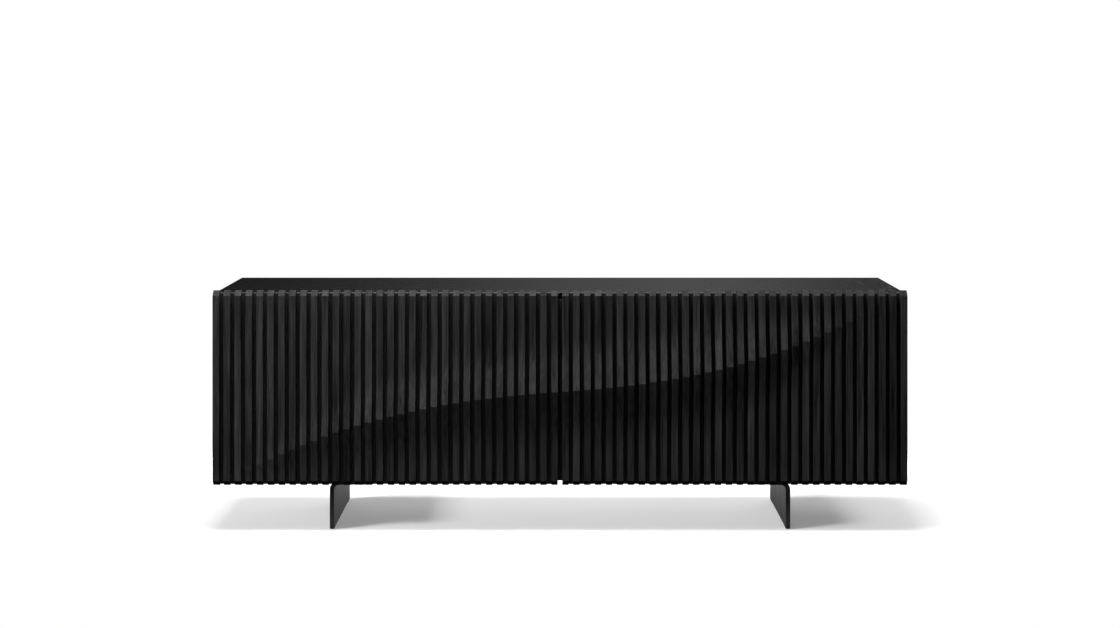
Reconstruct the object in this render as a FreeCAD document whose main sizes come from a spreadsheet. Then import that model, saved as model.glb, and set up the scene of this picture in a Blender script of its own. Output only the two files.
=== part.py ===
"""Sideboard buffet with two slatted doors, as a parametric FreeCAD document in millimetres.

The floor is Z = 0 and the origin is under the middle of the sideboard. +X runs along its length
to the right, the doors face -Y, and +Z is up. Every wooden slat swells to a sharp crest, and the
crests of the 64 slats together draw one S-shaped wave from the lower left to the upper right corner.
"""
import FreeCAD, Part
import math
import os
import re

import Sketcher

# ---------------------------------------------------------------- driving dimensions
DRIVING = (
    ("slat_pitch", 32),            # slat centre to slat centre
    ("slat_width", 19),
    ("slat_depth", 27),            # plain slat, without the swelling
    ("slat_bevel", 14),            # 45 degree bevel at both slat ends
    ("slats_per_door", 32),
    ("wave_middle", 417.8),        # level of the crest line at the middle of the sideboard
    ("wave_climb", 74.55),         # even part of its climb from the middle to one end
    ("wave_sweep", 219.34),        # part of the climb that gathers towards the end
    ("wave_power", 2.5),
    ("crest_rise", 28),            # how far the tallest crest stands in front of the plain face
    ("crest_peak", 458),           # level of the tallest crest
    ("crest_low", 152),            # levels where the crest has died away
    ("crest_high", 652),
    ("least_crest", 0.3),          # a slat with a lower crest stays plain
    ("slope_power", 0.6),          # how the height of the slopes follows the rise of the crest
    ("upper_ramp", 75),            # height of the straight slope above the tallest crest
    ("upper_blend", 85),           # height of the arc that eases it into the plain face
    ("lower_ramp", 85),
    ("lower_blend", 90),
    ("door_rise", 9),              # slats stand this far above the top panel
    ("door_drop", 6.5),            # and hang this far below the carcass
    ("backing", 16),               # door panel behind the slats
    ("backing_round", 4),          # rounded back edge on the hinge side
    ("door_gap", 3),               # door panel to carcass front
    ("carcass_depth", 454),
    ("carcass_height", 555),
    ("board", 19),
    ("back_board", 8),
    ("rebate", 9.5),               # width of the rebate that holds the back panels
    ("leg_height", 145),
    ("leg_reach", 680),            # outer face of a leg from the middle
    ("leg_plate", 13),
    ("leg_depth", 410),
    ("leg_flange", 120),
    ("leg_bend", 28),              # outer radius of the bend
    ("glide_height", 2.5),
    ("glide_length", 40),
    ("bolt_shank", 3),             # radius
    ("bolt_head", 5),              # radius and height
    ("bolt_bite", 12),             # depth in the bottom panel
    ("bolt_inset", 75),            # bolt axis from the outer face of the leg
    ("bolt_start", 0.07),          # first bolt, as a share of the depth of the leg
    ("bolt_step", 0.285),          # bolt to bolt, as a share of the depth of the leg
    ("glide_side", 1),             # glide to either face of the leg
    ("glide_inset", 10),
    ("shelf_level", 363),          # underside of a shelf
    ("shelf_setback", 30),
    ("shelf_play", 1),
    ("shelf_back_play", 5),
    ("back_play", 0.5),            # back panel to its rebate, and between the two back panels
    ("overshoot", 1),              # how far a cutting body passes the face it starts from
    ("pin_radius", 2.5),
    ("pin_length", 16),
    ("pin_line", 60),              # front pins from the front of the shelf
    ("pin_back_line", 80),         # rear pins from the back of the carcass
    ("dowel_radius", 4),
    ("dowel_bite", 11),            # depth in the top or bottom panel
    ("dowel_length", 30),
    ("dowel_line", 60),            # front dowels from the front, rear dowels from the back
    ("dowel_back_line", 64),
    ("cam_radius", 7.5),
    ("cam_depth", 13),
    ("cam_inset", 24),             # cam axis from the end of its board
    ("cam_bolt_radius", 3),
    ("cam_line", 110),
    ("cam_back_line", 114),
    ("cam_slot_depth", 2),
    ("cam_slot_width", 1.5),
    ("cam_slot_length", 10),
    ("hinge_spread", 202.5),       # middle hinge to the upper and lower one
    ("hinge_middle", 422.5),
    ("pivot_inset", 8),            # hinge pin from the outer edge of the door
    ("pivot_depth", 10.5),         # hinge pin in front of the carcass
    ("pivot_radius", 1.5),
    ("pivot_clearance", 0.05),
    ("eye_radius", 2.9),
    ("eye_height", 9.6),
    ("cup_inset", 20.5),           # cup axis from the outer edge of the door
    ("cup_radius", 17.4),
    ("cup_play", 0.1),
    ("cup_depth", 12),
    ("ear_near", 4),               # edges of a cup's ears from the cup axis
    ("ear_far", 15),
    ("ear_end", 29),
    ("ear_screw_offset", 9.5),     # ear screws from the cup axis, inwards and up or down
    ("ear_screw_spread", 22.5),
    ("ear_screw_bite", 12),
    ("ear_screw_head", 3.2),
    ("ear_screw_head_height", 1.2),
    ("sheet_metal", 1),
    ("arm_metal", 2),
    ("arm_reach", 60),
    ("arm_width", 16),
    ("arm_start", 8),              # where the wide foot of an arm begins
    ("plate_metal", 3),
    ("plate_line", 37),            # screw line from the carcass front
    ("plate_pitch", 32),
    ("plate_length", 40),
    ("plate_wing", 12),
    ("plate_wing_end", 8),         # wing beyond the screw axis
    ("plate_screw_radius", 2.5),
    ("plate_screw_bite", 11),
    ("plate_screw_head", 4),
    ("plate_screw_head_height", 2),
    ("clamp_offset", 10),          # clamp screw behind the screw line
    ("clamp_radius", 2),
    ("clamp_head", 3.5),
    ("clamp_head_height", 1.8),
    ("latch_level", 648),
    ("latch_length", 76),
    ("latch_width", 14),
    ("latch_tall", 16),
    ("latch_setback", 3),
    ("latch_round", 3),
    ("latch_screw_line", 62),
    ("latch_screw_pitch", 11),
    ("latch_screw_bite", 7),
    ("latch_screw_head", 3.2),
    ("latch_screw_head_height", 1.8),
    ("plunger_radius", 3),
    ("plunger_length", 47),
    ("plunger_tip", 5),            # radius of the magnetic tip
    ("plunger_tip_length", 2.5),
    ("plunger_gap", 0.3),          # tip to strike plate with the door closed
    ("plunger_room", 6),           # running bore beyond the plunger
    ("strike_metal", 1.2),
    ("strike_width", 14),
    ("strike_tall", 30),
    ("screw_radius", 1.75),
    ("screw_sink", 2),             # depth of a countersunk head
    ("back_screw_length", 15),
    ("back_screw_column", 4.5),    # screw columns either side of the middle
    ("back_screw_end", 65),        # end screws from the top and bottom of the carcass
)

SHEET_NAME = "Dimensions"
MIDDLE_SIDES = {"left": -1, "right": 1}
HINGE_LEVELS = {"lower": -1, "middle": 0, "upper": 1}
SLATS_PER_NODE = 8
TINY = 1e-6      # a length that counts as nothing
NEAR = 0.01      # how close a point must be to count as lying on an edge
SOLVER_STEPS = 20

DOC = FreeCAD.newDocument("Sideboard")
PARTS = []


def fill_sheet():
    """Write one driving dimension per row, with its name as the alias."""
    sheet = DOC.addObject("Spreadsheet::Sheet", SHEET_NAME)
    for row, (alias, size) in enumerate(DRIVING, start=1):
        sheet.set("A%d" % row, alias)
        sheet.set("B%d" % row, str(size))
        sheet.setAlias("B%d" % row, alias)
    DOC.recompute()
    return sheet


SHEET = fill_sheet()
ALIASES = {alias for alias, _ in DRIVING}

# Dimensions that follow from the driving ones, as expression text.
WIDTH = "(2 * slats_per_door * slat_pitch - slat_pitch + slat_width)"
DOOR_STACK = "(slat_depth + backing + door_gap)"
FRONT = "((crest_rise + %s - carcass_depth) / 2)" % DOOR_STACK
BACK = "(%s + carcass_depth)" % FRONT
BACKING_FACE = "(%s - door_gap)" % FRONT
SLAT_BACK = "(%s - backing)" % BACKING_FACE
TOP = "(leg_height + carcass_height)"
CEILING = "(%s - board)" % TOP
INNER_FLOOR = "(leg_height + board)"
DOOR_LOW = "(leg_height - door_drop)"
DOOR_HIGH = "(%s + door_rise)" % TOP
BACK_INNER = "(%s - back_board)" % BACK
HALF_GAP = "((slat_pitch - slat_width) / 2)"


def bound(text):
    """Expression text with every alias pointing into the sheet."""
    def point(match):
        word = match.group()
        return SHEET_NAME + "." + word if word in ALIASES else word
    return re.sub(r"[a-z_]+", point, str(text))


def number(text):
    """Present value of an expression."""
    return float(SHEET.evalExpression(bound(text)))


def from_edge(side, inset):
    """X at a distance inwards from the outer end of the sideboard."""
    return "(%d * (%s / 2 - (%s)))" % (side, WIDTH, inset)


def from_middle(side, distance):
    """X at a distance outwards from the middle."""
    return "(%d * (%s))" % (side, distance)


def behind_front(distance):
    """Y at a distance behind the front plane of the carcass."""
    return "(%s + (%s))" % (FRONT, distance)


def place(item, corner, turn=None):
    """Bind an object's position to expressions, after an optional fixed turn."""
    if turn is not None:
        item.Placement = FreeCAD.Placement(FreeCAD.Vector(), turn)
    for axis, text in zip("xyz", corner):
        item.setExpression("Placement.Base." + axis, bound(text))


def box(name, x_span, y_span, z_span):
    """Part::Box between two expressions on each axis, given in either order."""
    item = DOC.addObject("Part::Box", name)
    corner = []
    for prop, span in zip(("Length", "Width", "Height"), (x_span, y_span, z_span)):
        low, high = sorted(span, key=number)
        item.setExpression(prop, bound("(%s) - (%s)" % (high, low)))
        corner.append(low)
    place(item, corner)
    return item


TURNS = {
    "+Z": FreeCAD.Rotation(),
    "-Z": FreeCAD.Rotation(FreeCAD.Vector(1, 0, 0), 180),
    "+X": FreeCAD.Rotation(FreeCAD.Vector(0, 1, 0), 90),
    "-X": FreeCAD.Rotation(FreeCAD.Vector(0, 1, 0), -90),
    "+Y": FreeCAD.Rotation(FreeCAD.Vector(1, 0, 0), -90),
    "-Y": FreeCAD.Rotation(FreeCAD.Vector(1, 0, 0), 90),
}


def outward(side):
    """Direction name along X, away from the middle."""
    return "+X" if side > 0 else "-X"


def inward(side):
    """Direction name along X, towards the middle."""
    return "-X" if side > 0 else "+X"


def rod(name, start, direction, radius, length):
    """Part::Cylinder from a start point along one of the six directions."""
    item = DOC.addObject("Part::Cylinder", name)
    item.setExpression("Radius", bound(radius))
    item.setExpression("Height", bound(length))
    place(item, start, TURNS[direction])
    return item


def cone(name, start, direction, radius, end_radius, length):
    """Part::Cone from a start point along one of the six directions."""
    item = DOC.addObject("Part::Cone", name)
    item.setExpression("Radius1", bound(radius))
    item.setExpression("Radius2", bound(end_radius))
    item.setExpression("Height", bound(length))
    place(item, start, TURNS[direction])
    return item


def group(name, items):
    """Part::Compound of objects that stay separate solids."""
    item = DOC.addObject("Part::Compound", name)
    item.Links = items
    return item


def fuse(name, items):
    """One solid out of several overlapping ones."""
    item = DOC.addObject("Part::MultiFuse", name)
    item.Shapes = items
    item.Refine = True
    return item


def cut(name, base, tools):
    """The base less each tool in turn."""
    for index, tool in enumerate(tools, start=1):
        step = DOC.addObject("Part::Cut", name if index == len(tools) else "%s_%d" % (name, index))
        step.Base = base
        step.Tool = tool
        base = step
    return base


def sub_part(item, label):
    """Register an object as a finished sub-part under its node name."""
    item.Label = label
    PARTS.append(item)
    return item


def origin_plane(body, role):
    """The body's own origin plane with the given role."""
    return next(item for item in body.Origin.OriginFeatures if item.Role == role)


def outline_sketch(body, name, role, corners, offset="0"):
    """Closed polygon whose corners are held at driven distances from the sketch origin."""
    sketch = body.newObject("Sketcher::SketchObject", name)
    sketch.AttachmentSupport = [(origin_plane(body, role), "")]
    sketch.MapMode = "FlatFace"
    sketch.setExpression("AttachmentOffset.Base.z", bound(offset))
    places = [FreeCAD.Vector(number(across), number(up), 0) for across, up in corners]
    for index, start in enumerate(places):
        end = places[(index + 1) % len(places)]
        sketch.addGeometry(Part.LineSegment(start, end), False)
    for index in range(len(places)):
        following = (index + 1) % len(places)
        sketch.addConstraint(Sketcher.Constraint("Coincident", index, 2, following, 1))
    for index, corner in enumerate(corners):
        for kind, text, axis in zip(("DistanceX", "DistanceY"), corner, (-2, -1)):
            size = number(text)
            if abs(size) < TINY:
                sketch.addConstraint(Sketcher.Constraint("PointOnObject", index, 1, axis))
                continue
            driven = sketch.addConstraint(Sketcher.Constraint(kind, -1, 1, index, 1, size))
            sketch.setExpression("Constraints[%d]" % driven, bound(text))
    return sketch


def pad(body, name, sketch, length, reverse=False):
    """PartDesign pad of a sketch."""
    feature = body.newObject("PartDesign::Pad", name)
    feature.Profile = sketch
    feature.setExpression("Length", bound(length))
    feature.Reversed = reverse
    DOC.recompute()
    return feature


def round_edges(body, name, feature, radius, chosen):
    """PartDesign fillet of the feature's edges that the test picks."""
    names = ["Edge%d" % (index + 1) for index, edge in enumerate(feature.Shape.Edges) if chosen(edge)]
    fillet = body.newObject("PartDesign::Fillet", name)
    fillet.Base = (feature, names)
    fillet.setExpression("Radius", bound(radius))
    DOC.recompute()
    return fillet


# ---------------------------------------------------------------- fasteners of the carcass
UPRIGHTS = {
    "left": from_edge(-1, "board / 2"),
    "middle": "0",
    "right": from_edge(1, "board / 2"),
}
JOINT_ENDS = (("bottom", INNER_FLOOR, 1), ("top", CEILING, -1))
DOWEL_LINES = ("dowel_line", "carcass_depth - dowel_back_line")
CAM_LINES = ("cam_line", "carcass_depth - cam_back_line")


def joint_positions(lines):
    """Every place where an upright board meets the top or bottom panel."""
    for upright, across in UPRIGHTS.items():
        for end, level, up in JOINT_ENDS:
            for index, line in enumerate(lines):
                yield "%s_%s_%d" % (upright, end, index), upright, across, level, up, behind_front(line)


def make_dowels():
    """Wooden dowels between the upright boards and the two long panels."""
    dowels = []
    for tag, _, across, level, up, along in joint_positions(DOWEL_LINES):
        start = (across, along, "%s - %d * dowel_bite" % (level, up))
        direction = "+Z" if up > 0 else "-Z"
        dowels.append(rod("dowel_" + tag, start, direction, "dowel_radius", "dowel_length"))
    return sub_part(group("dowels", dowels), "carcass_dowels")


def make_cam_bolts():
    """Steel bolts that the cams draw in. Each ends on the rim of its cam."""
    bolts = []
    for tag, _, across, level, up, along in joint_positions(CAM_LINES):
        start = (across, along, "%s - %d * dowel_bite" % (level, up))
        direction = "+Z" if up > 0 else "-Z"
        length = "dowel_bite + cam_inset - cam_radius"
        bolts.append(rod("cam_bolt_" + tag, start, direction, "cam_bolt_radius", length))
    return sub_part(group("cam_bolt_group", bolts), "cam_bolts")


def make_cam_discs():
    """Eccentric discs let into the upright boards, each with a screwdriver slot."""
    blanks = []
    slots = []
    for tag, upright, across, level, up, along in joint_positions(CAM_LINES):
        side = MIDDLE_SIDES.get(upright, 1)
        face = "(%s - %d * board / 2)" % (across, side)
        height = "%s + %d * cam_inset" % (level, up)
        blanks.append(rod("cam_" + tag, (face, along, height), outward(side), "cam_radius", "cam_depth"))
        slots.append(box(
            "cam_slot_" + tag,
            (face, "%s + %d * cam_slot_depth" % (face, side)),
            ("%s - cam_slot_width / 2" % along, "%s + cam_slot_width / 2" % along),
            ("%s - cam_slot_length / 2" % height, "%s + cam_slot_length / 2" % height)))
    blank_group = group("cam_blanks", blanks)
    sub_part(cut("cams", blank_group, slots), "cam_discs")
    return blank_group


def countersunk(name, start, direction, length):
    """Flat-headed wood screw whose head lies flush at the start point."""
    shank = rod(name + "_shank", start, direction, "screw_radius", length)
    head = cone(name + "_head", start, direction, "2 * screw_radius", "screw_radius", "screw_sink")
    return fuse(name, [shank, head])


def make_back_screws():
    """Screws round the edge of both back panels."""
    screws = []
    for name, side in MIDDLE_SIDES.items():
        columns = (from_middle(side, "back_screw_column"), from_edge(side, "board - rebate / 2"))
        ends = ("leg_height + back_screw_end", "%s - back_screw_end" % TOP)
        levels = (ends[0], "leg_height + carcass_height / 2", ends[1])
        places = [(column, level) for column in columns for level in levels]
        rows = ("leg_height + board - rebate / 2", "%s - board + rebate / 2" % TOP)
        quarters = ["%d * %s / 8" % (count, WIDTH) for count in (1, 2, 3)]
        places += [(from_middle(side, quarter), row) for row in rows for quarter in quarters]
        for index, (across, level) in enumerate(places):
            tag = "back_screw_%s_%d" % (name, index)
            screws.append(countersunk(tag, (across, BACK, level), "-Y", "back_screw_length"))
    return sub_part(group("back_screws", screws), "back_panel_screws")


def make_shelf_pins():
    """Eight steel pins, half in the upright board and half under a shelf."""
    pins = []
    for name, side in MIDDLE_SIDES.items():
        faces = (
            (from_edge(side, "board - pin_length / 2"), inward(side)),
            (from_middle(side, "board / 2 - pin_length / 2"), outward(side)),
        )
        for column, (start, direction) in enumerate(faces):
            for row, line in enumerate(("shelf_setback + pin_line", "carcass_depth - pin_back_line")):
                tag = "shelf_pin_%s_%d%d" % (name, column, row)
                spot = (start, behind_front(line), "shelf_level - pin_radius")
                pins.append(rod(tag, spot, direction, "pin_radius", "pin_length"))
    return sub_part(group("pins", pins), "shelf_pins")


# ---------------------------------------------------------------- legs
def leg_bolt_lines():
    """Y of the four bolts along one leg."""
    return [behind_front("leg_depth * (bolt_start + %d * bolt_step)" % index) for index in range(4)]


def make_leg_bolts(name, side):
    """Four machine bolts that hold a leg flange under the bottom panel."""
    bolts = []
    across = from_middle(side, "leg_reach - bolt_inset")
    underside = "(leg_height - leg_plate)"
    for index, along in enumerate(leg_bolt_lines()):
        tag = "%s_leg_bolt_%d" % (name, index)
        shank = rod(tag + "_shank", (across, along, underside), "+Z", "bolt_shank", "leg_plate + bolt_bite")
        head = rod(tag + "_head", (across, along, underside), "-Z", "bolt_head", "bolt_head")
        bolts.append(fuse(tag, [shank, head]))
    return sub_part(group(name + "_bolts", bolts), name + "_leg_bolts")


def make_leg(name, side, bolts):
    """Steel plate bent once, standing front to back, with its flange towards the middle."""
    body = DOC.addObject("PartDesign::Body", name + "_leg_body")
    outer = from_middle(side, "leg_reach")
    inner = from_middle(side, "leg_reach - leg_plate")
    tip = from_middle(side, "leg_reach - leg_flange")
    underside = "leg_height - leg_plate"
    corners = (
        (outer, "glide_height"),
        (outer, "leg_height"),
        (tip, "leg_height"),
        (tip, underside),
        (inner, underside),
        (inner, "glide_height"),
    )
    sketch = outline_sketch(body, name + "_leg_outline", "XZ_Plane", corners, "-(%s)" % FRONT)
    blank = pad(body, name + "_leg_pad", sketch, "leg_depth", reverse=True)

    def bend_edge(across, level):
        def chosen(edge):
            points = [vertex.Point for vertex in edge.Vertexes]
            return all(abs(p.x - number(across)) < NEAR and abs(p.z - number(level)) < NEAR for p in points)
        return chosen

    outside = round_edges(body, name + "_leg_outer_bend", blank, "leg_bend", bend_edge(outer, "leg_height"))
    round_edges(body, name + "_leg_inner_bend", outside, "leg_bend - leg_plate", bend_edge(inner, underside))
    return sub_part(cut(name + "_leg_drilled", body, [bolts]), name + "_leg")


def make_glides(name, side):
    """Two plastic glides under the edge of a leg."""
    near = from_middle(side, "leg_reach - leg_plate + glide_side")
    far = from_middle(side, "leg_reach - glide_side")
    glides = []
    for index, start in enumerate(("glide_inset", "leg_depth - glide_inset - glide_length")):
        y_span = (behind_front(start), behind_front(start + " + glide_length"))
        glides.append(box("%s_glide_%d" % (name, index), (near, far), y_span, ("0", "glide_height")))
    return sub_part(group(name + "_glides", glides), name + "_leg_glides")


# ---------------------------------------------------------------- hinges
WING = "plate_pitch / 2 + plate_wing_end"


def hinge_level(step):
    """Height of the lower, middle or upper hinge."""
    return "(hinge_middle + %d * hinge_spread)" % step


def make_plate_screws(name, side):
    """Two screws through each mounting plate and one that clamps the arm on it."""
    screws = []
    face = from_edge(side, "board + plate_metal")
    arm_face = from_edge(side, "board + plate_metal + arm_metal")
    for tag, step in HINGE_LEVELS.items():
        level = hinge_level(step)
        for index, up in enumerate((-1, 1)):
            spot = (face, behind_front("plate_line"), "%s + %d * plate_pitch / 2" % (level, up))
            stem = "%s_%s_plate_screw_%d" % (name, tag, index)
            length = "plate_metal + plate_screw_bite"
            shank = rod(stem + "_shank", spot, outward(side), "plate_screw_radius", length)
            tall = "plate_screw_head_height"
            head = rod(stem + "_head", spot, inward(side), "plate_screw_head", tall)
            screws.append(fuse(stem, [shank, head]))
        spot = (arm_face, behind_front("plate_line + clamp_offset"), level)
        stem = "%s_%s_clamp_screw" % (name, tag)
        shank = rod(stem + "_shank", spot, outward(side), "clamp_radius", "arm_metal + plate_metal")
        head = rod(stem + "_head", spot, inward(side), "clamp_head", "clamp_head_height")
        screws.append(fuse(stem, [shank, head]))
    return sub_part(group(name + "_plate_screws", screws), name + "_hinge_plate_screws")


def make_hinge_plate(name, side, tag, step, screws):
    """Cross-shaped mounting plate on the inner face of the side panel."""
    stem = "%s_%s_plate" % (name, tag)
    level = hinge_level(step)
    x_span = (from_edge(side, "board"), from_edge(side, "board + plate_metal"))
    base = box(
        stem + "_base", x_span,
        (behind_front("plate_line - plate_length / 2"), behind_front("plate_line + plate_length / 2")),
        ("%s - arm_width / 2" % level, "%s + arm_width / 2" % level))
    wings = box(
        stem + "_wings", x_span,
        (behind_front("plate_line - plate_wing / 2"), behind_front("plate_line + plate_wing / 2")),
        ("%s - (%s)" % (level, WING), "%s + (%s)" % (level, WING)))
    cross = fuse(stem + "_cross", [base, wings])
    return sub_part(cut(stem, cross, [screws]), "%s_%s_hinge_plate" % (name, tag))


def make_hinge_arm(name, side, tag, step, screws):
    """Cranked arm: an eye round the hinge pin, a reach inside the cup and a long foot on the plate."""
    stem = "%s_%s_arm" % (name, tag)
    level = hinge_level(step)
    pin = (from_edge(side, "pivot_inset"), behind_front("-pivot_depth"), "%s - eye_height / 2" % level)
    near = "board + plate_metal"
    far = "board + plate_metal + arm_metal"
    narrow = ("%s - eye_height / 2" % level, "%s + eye_height / 2" % level)
    eye = rod(stem + "_eye", pin, "+Z", "eye_radius", "eye_height")
    reach = box(
        stem + "_reach",
        (from_edge(side, "pivot_inset"), from_edge(side, far)),
        (behind_front("-pivot_depth - arm_metal / 2"), behind_front("-pivot_depth + arm_metal / 2")),
        narrow)
    neck = box(
        stem + "_neck",
        (from_edge(side, near), from_edge(side, far)),
        (behind_front("-pivot_depth - arm_metal / 2"), behind_front("arm_reach")),
        narrow)
    foot = box(
        stem + "_foot",
        (from_edge(side, near), from_edge(side, far)),
        (behind_front("arm_start"), behind_front("arm_reach")),
        ("%s - arm_width / 2" % level, "%s + arm_width / 2" % level))
    bore = rod(stem + "_bore", pin, "+Z", "pivot_radius + pivot_clearance", "eye_height")
    blank = fuse(stem + "_blank", [eye, reach, neck, foot])
    return sub_part(cut(stem, blank, [bore, screws]), "%s_%s_hinge_arm" % (name, tag))


def make_cup_screws(name, side):
    """Two screws through the ears of each hinge cup."""
    screws = []
    for tag, step in HINGE_LEVELS.items():
        for index, up in enumerate((-1, 1)):
            level = "%s + %d * ear_screw_spread" % (hinge_level(step), up)
            across = from_edge(side, "cup_inset + ear_screw_offset")
            spot = (across, "%s + sheet_metal" % BACKING_FACE, level)
            stem = "%s_%s_cup_screw_%d" % (name, tag, index)
            shank = rod(stem + "_shank", spot, "-Y", "screw_radius", "ear_screw_bite")
            head = rod(stem + "_head", spot, "+Y", "ear_screw_head", "ear_screw_head_height")
            screws.append(fuse(stem, [shank, head]))
    return sub_part(group(name + "_ear_screws", screws), name + "_cup_screws")


def make_hinge_cup(name, side, tag, step, screws):
    """Round cup let into the door panel, with two ears and the hinge pin across it."""
    stem = "%s_%s_cup" % (name, tag)
    level = hinge_level(step)
    across = from_edge(side, "cup_inset")
    mouth = "(%s + sheet_metal)" % BACKING_FACE
    shell = rod(stem + "_shell", (across, mouth, level), "-Y", "cup_radius", "cup_depth + sheet_metal")
    ears = box(
        stem + "_ears",
        (from_edge(side, "cup_inset + ear_near"), from_edge(side, "cup_inset + ear_far")),
        (BACKING_FACE, mouth),
        ("%s - ear_end" % level, "%s + ear_end" % level))
    hollow = rod(stem + "_hollow", (across, mouth, level), "-Y", "cup_radius - sheet_metal", "cup_depth")
    open_cup = cut(stem + "_open", fuse(stem + "_outside", [shell, ears]), [hollow, screws])
    pin_start = (from_edge(side, "pivot_inset"), behind_front("-pivot_depth"), "%s - cup_radius" % level)
    long_pin = rod(stem + "_long_pin", pin_start, "+Z", "pivot_radius", "2 * cup_radius")
    pin = DOC.addObject("Part::Common", stem + "_pin")
    pin.Base = long_pin
    pin.Tool = shell
    return sub_part(fuse(stem, [open_cup, pin]), "%s_%s_hinge_cup" % (name, tag))


# ---------------------------------------------------------------- push latches
def make_latch(name, side):
    """Housing on the centre partition: a moulded block with a long bore for the plunger."""
    body = DOC.addObject("PartDesign::Body", name + "_latch_body")
    near = from_middle(side, "board / 2")
    far = from_middle(side, "board / 2 + latch_width")
    low = "latch_level - latch_tall / 2"
    high = "latch_level + latch_tall / 2"
    corners = ((near, low), (far, low), (far, high), (near, high))
    front = "-(%s + latch_setback)" % FRONT
    sketch = outline_sketch(body, name + "_latch_outline", "XZ_Plane", corners, front)
    blank = pad(body, name + "_latch_pad", sketch, "latch_length", reverse=True)

    def long_edge(edge):
        points = [vertex.Point for vertex in edge.Vertexes]
        runs_back = abs(points[0].y - points[-1].y) > number("latch_length") / 2
        return runs_back and abs(points[0].x - number(far)) < NEAR

    round_edges(body, name + "_latch_rounded", blank, "latch_round", long_edge)
    return body


def make_latch_screws():
    """Two screws through the tail of each housing into the centre partition."""
    screws = []
    for name, side in MIDDLE_SIDES.items():
        for index, line in enumerate(("latch_screw_line", "latch_screw_line + latch_screw_pitch")):
            spot = (from_middle(side, "board / 2 + latch_width"), behind_front(line), "latch_level")
            stem = "%s_latch_screw_%d" % (name, index)
            length = "latch_width + latch_screw_bite"
            shank = rod(stem + "_shank", spot, inward(side), "screw_radius", length)
            tall = "latch_screw_head_height"
            head = rod(stem + "_head", spot, outward(side), "latch_screw_head", tall)
            screws.append(fuse(stem, [shank, head]))
    return sub_part(group("housing_screws", screws), "latch_screws")


def plunger_axis(side):
    """X of the plunger and of its strike plate."""
    return from_middle(side, "board / 2 + latch_width / 2")


def make_plunger(name, side):
    """Spring plunger with a wider magnetic tip in front of the housing."""
    tip_face = "(%s + strike_metal + plunger_gap)" % BACKING_FACE
    across = plunger_axis(side)
    tip = rod(name + "_tip", (across, tip_face, "latch_level"), "+Y", "plunger_tip", "plunger_tip_length")
    stem_start = (across, tip_face, "latch_level")
    stem = rod(name + "_stem", stem_start, "+Y", "plunger_radius", "plunger_tip_length + plunger_length")
    return sub_part(fuse(name + "_plunger", [tip, stem]), name + "_latch_plunger")


def make_latch_bore(name, side):
    """Running bore of the plunger, a little longer than its stem."""
    start = (plunger_axis(side), FRONT, "latch_level")
    length = "plunger_length + plunger_room"
    return rod(name + "_bore", start, "+Y", "plunger_radius + pivot_clearance", length)


def make_strike(name, side):
    """Thin steel plate that the magnetic tip holds."""
    across = plunger_axis(side)
    plate = box(
        name + "_strike",
        ("%s - strike_width / 2" % across, "%s + strike_width / 2" % across),
        (BACKING_FACE, "%s + strike_metal" % BACKING_FACE),
        ("latch_level - strike_tall / 2", "latch_level + strike_tall / 2"))
    return sub_part(plate, name + "_strike_plate")


# ---------------------------------------------------------------- carcass boards
def make_boards(cutters):
    """Top, bottom, sides, partition, shelves and back panels."""
    full_width = (from_edge(-1, "0"), from_edge(1, "0"))
    full_depth = (FRONT, BACK)
    recess = box(
        "back_recess",
        (from_edge(-1, "board - rebate"), from_edge(1, "board - rebate")),
        (BACK_INNER, "%s + overshoot" % BACK),
        ("leg_height + board - rebate", "%s - board + rebate" % TOP))
    top = box("top_blank", full_width, full_depth, (CEILING, TOP))
    sub_part(cut("top", top, [recess] + cutters["joints"] + cutters["back"]), "top_panel")
    bottom = box("bottom_blank", full_width, full_depth, ("leg_height", INNER_FLOOR))
    bottom_cutters = [recess] + cutters["joints"] + cutters["back"] + cutters["legs"]
    sub_part(cut("bottom", bottom, bottom_cutters), "bottom_panel")
    upright_cutters = cutters["joints"] + cutters["cams"] + cutters["back"] + cutters["pins"]
    for name, side in MIDDLE_SIDES.items():
        blank = box(
            name + "_side_blank",
            (from_edge(side, "0"), from_edge(side, "board")),
            full_depth, (INNER_FLOOR, CEILING))
        tools = [recess] + upright_cutters + [cutters[name + "_plates"]]
        sub_part(cut(name + "_side", blank, tools), name + "_side_panel")
    middle = box("partition_blank", ("-board / 2", "board / 2"), (FRONT, BACK_INNER), (INNER_FLOOR, CEILING))
    sub_part(cut("partition", middle, upright_cutters + cutters["latches"]), "centre_partition")
    for name, side in MIDDLE_SIDES.items():
        sub_part(box(
            name + "_shelf_board",
            (from_middle(side, "board / 2 + shelf_play"), from_edge(side, "board + shelf_play")),
            (behind_front("shelf_setback"), "%s - shelf_back_play" % BACK_INNER),
            ("shelf_level", "shelf_level + board")), name + "_shelf")
        blank = box(
            name + "_back_blank",
            (from_middle(side, "back_play / 2"), from_edge(side, "board - rebate + back_play")),
            (BACK_INNER, BACK),
            ("leg_height + board - rebate + back_play", "%s - board + rebate - back_play" % TOP))
        sub_part(cut(name + "_back", blank, cutters["back"]), name + "_back_panel")


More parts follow.
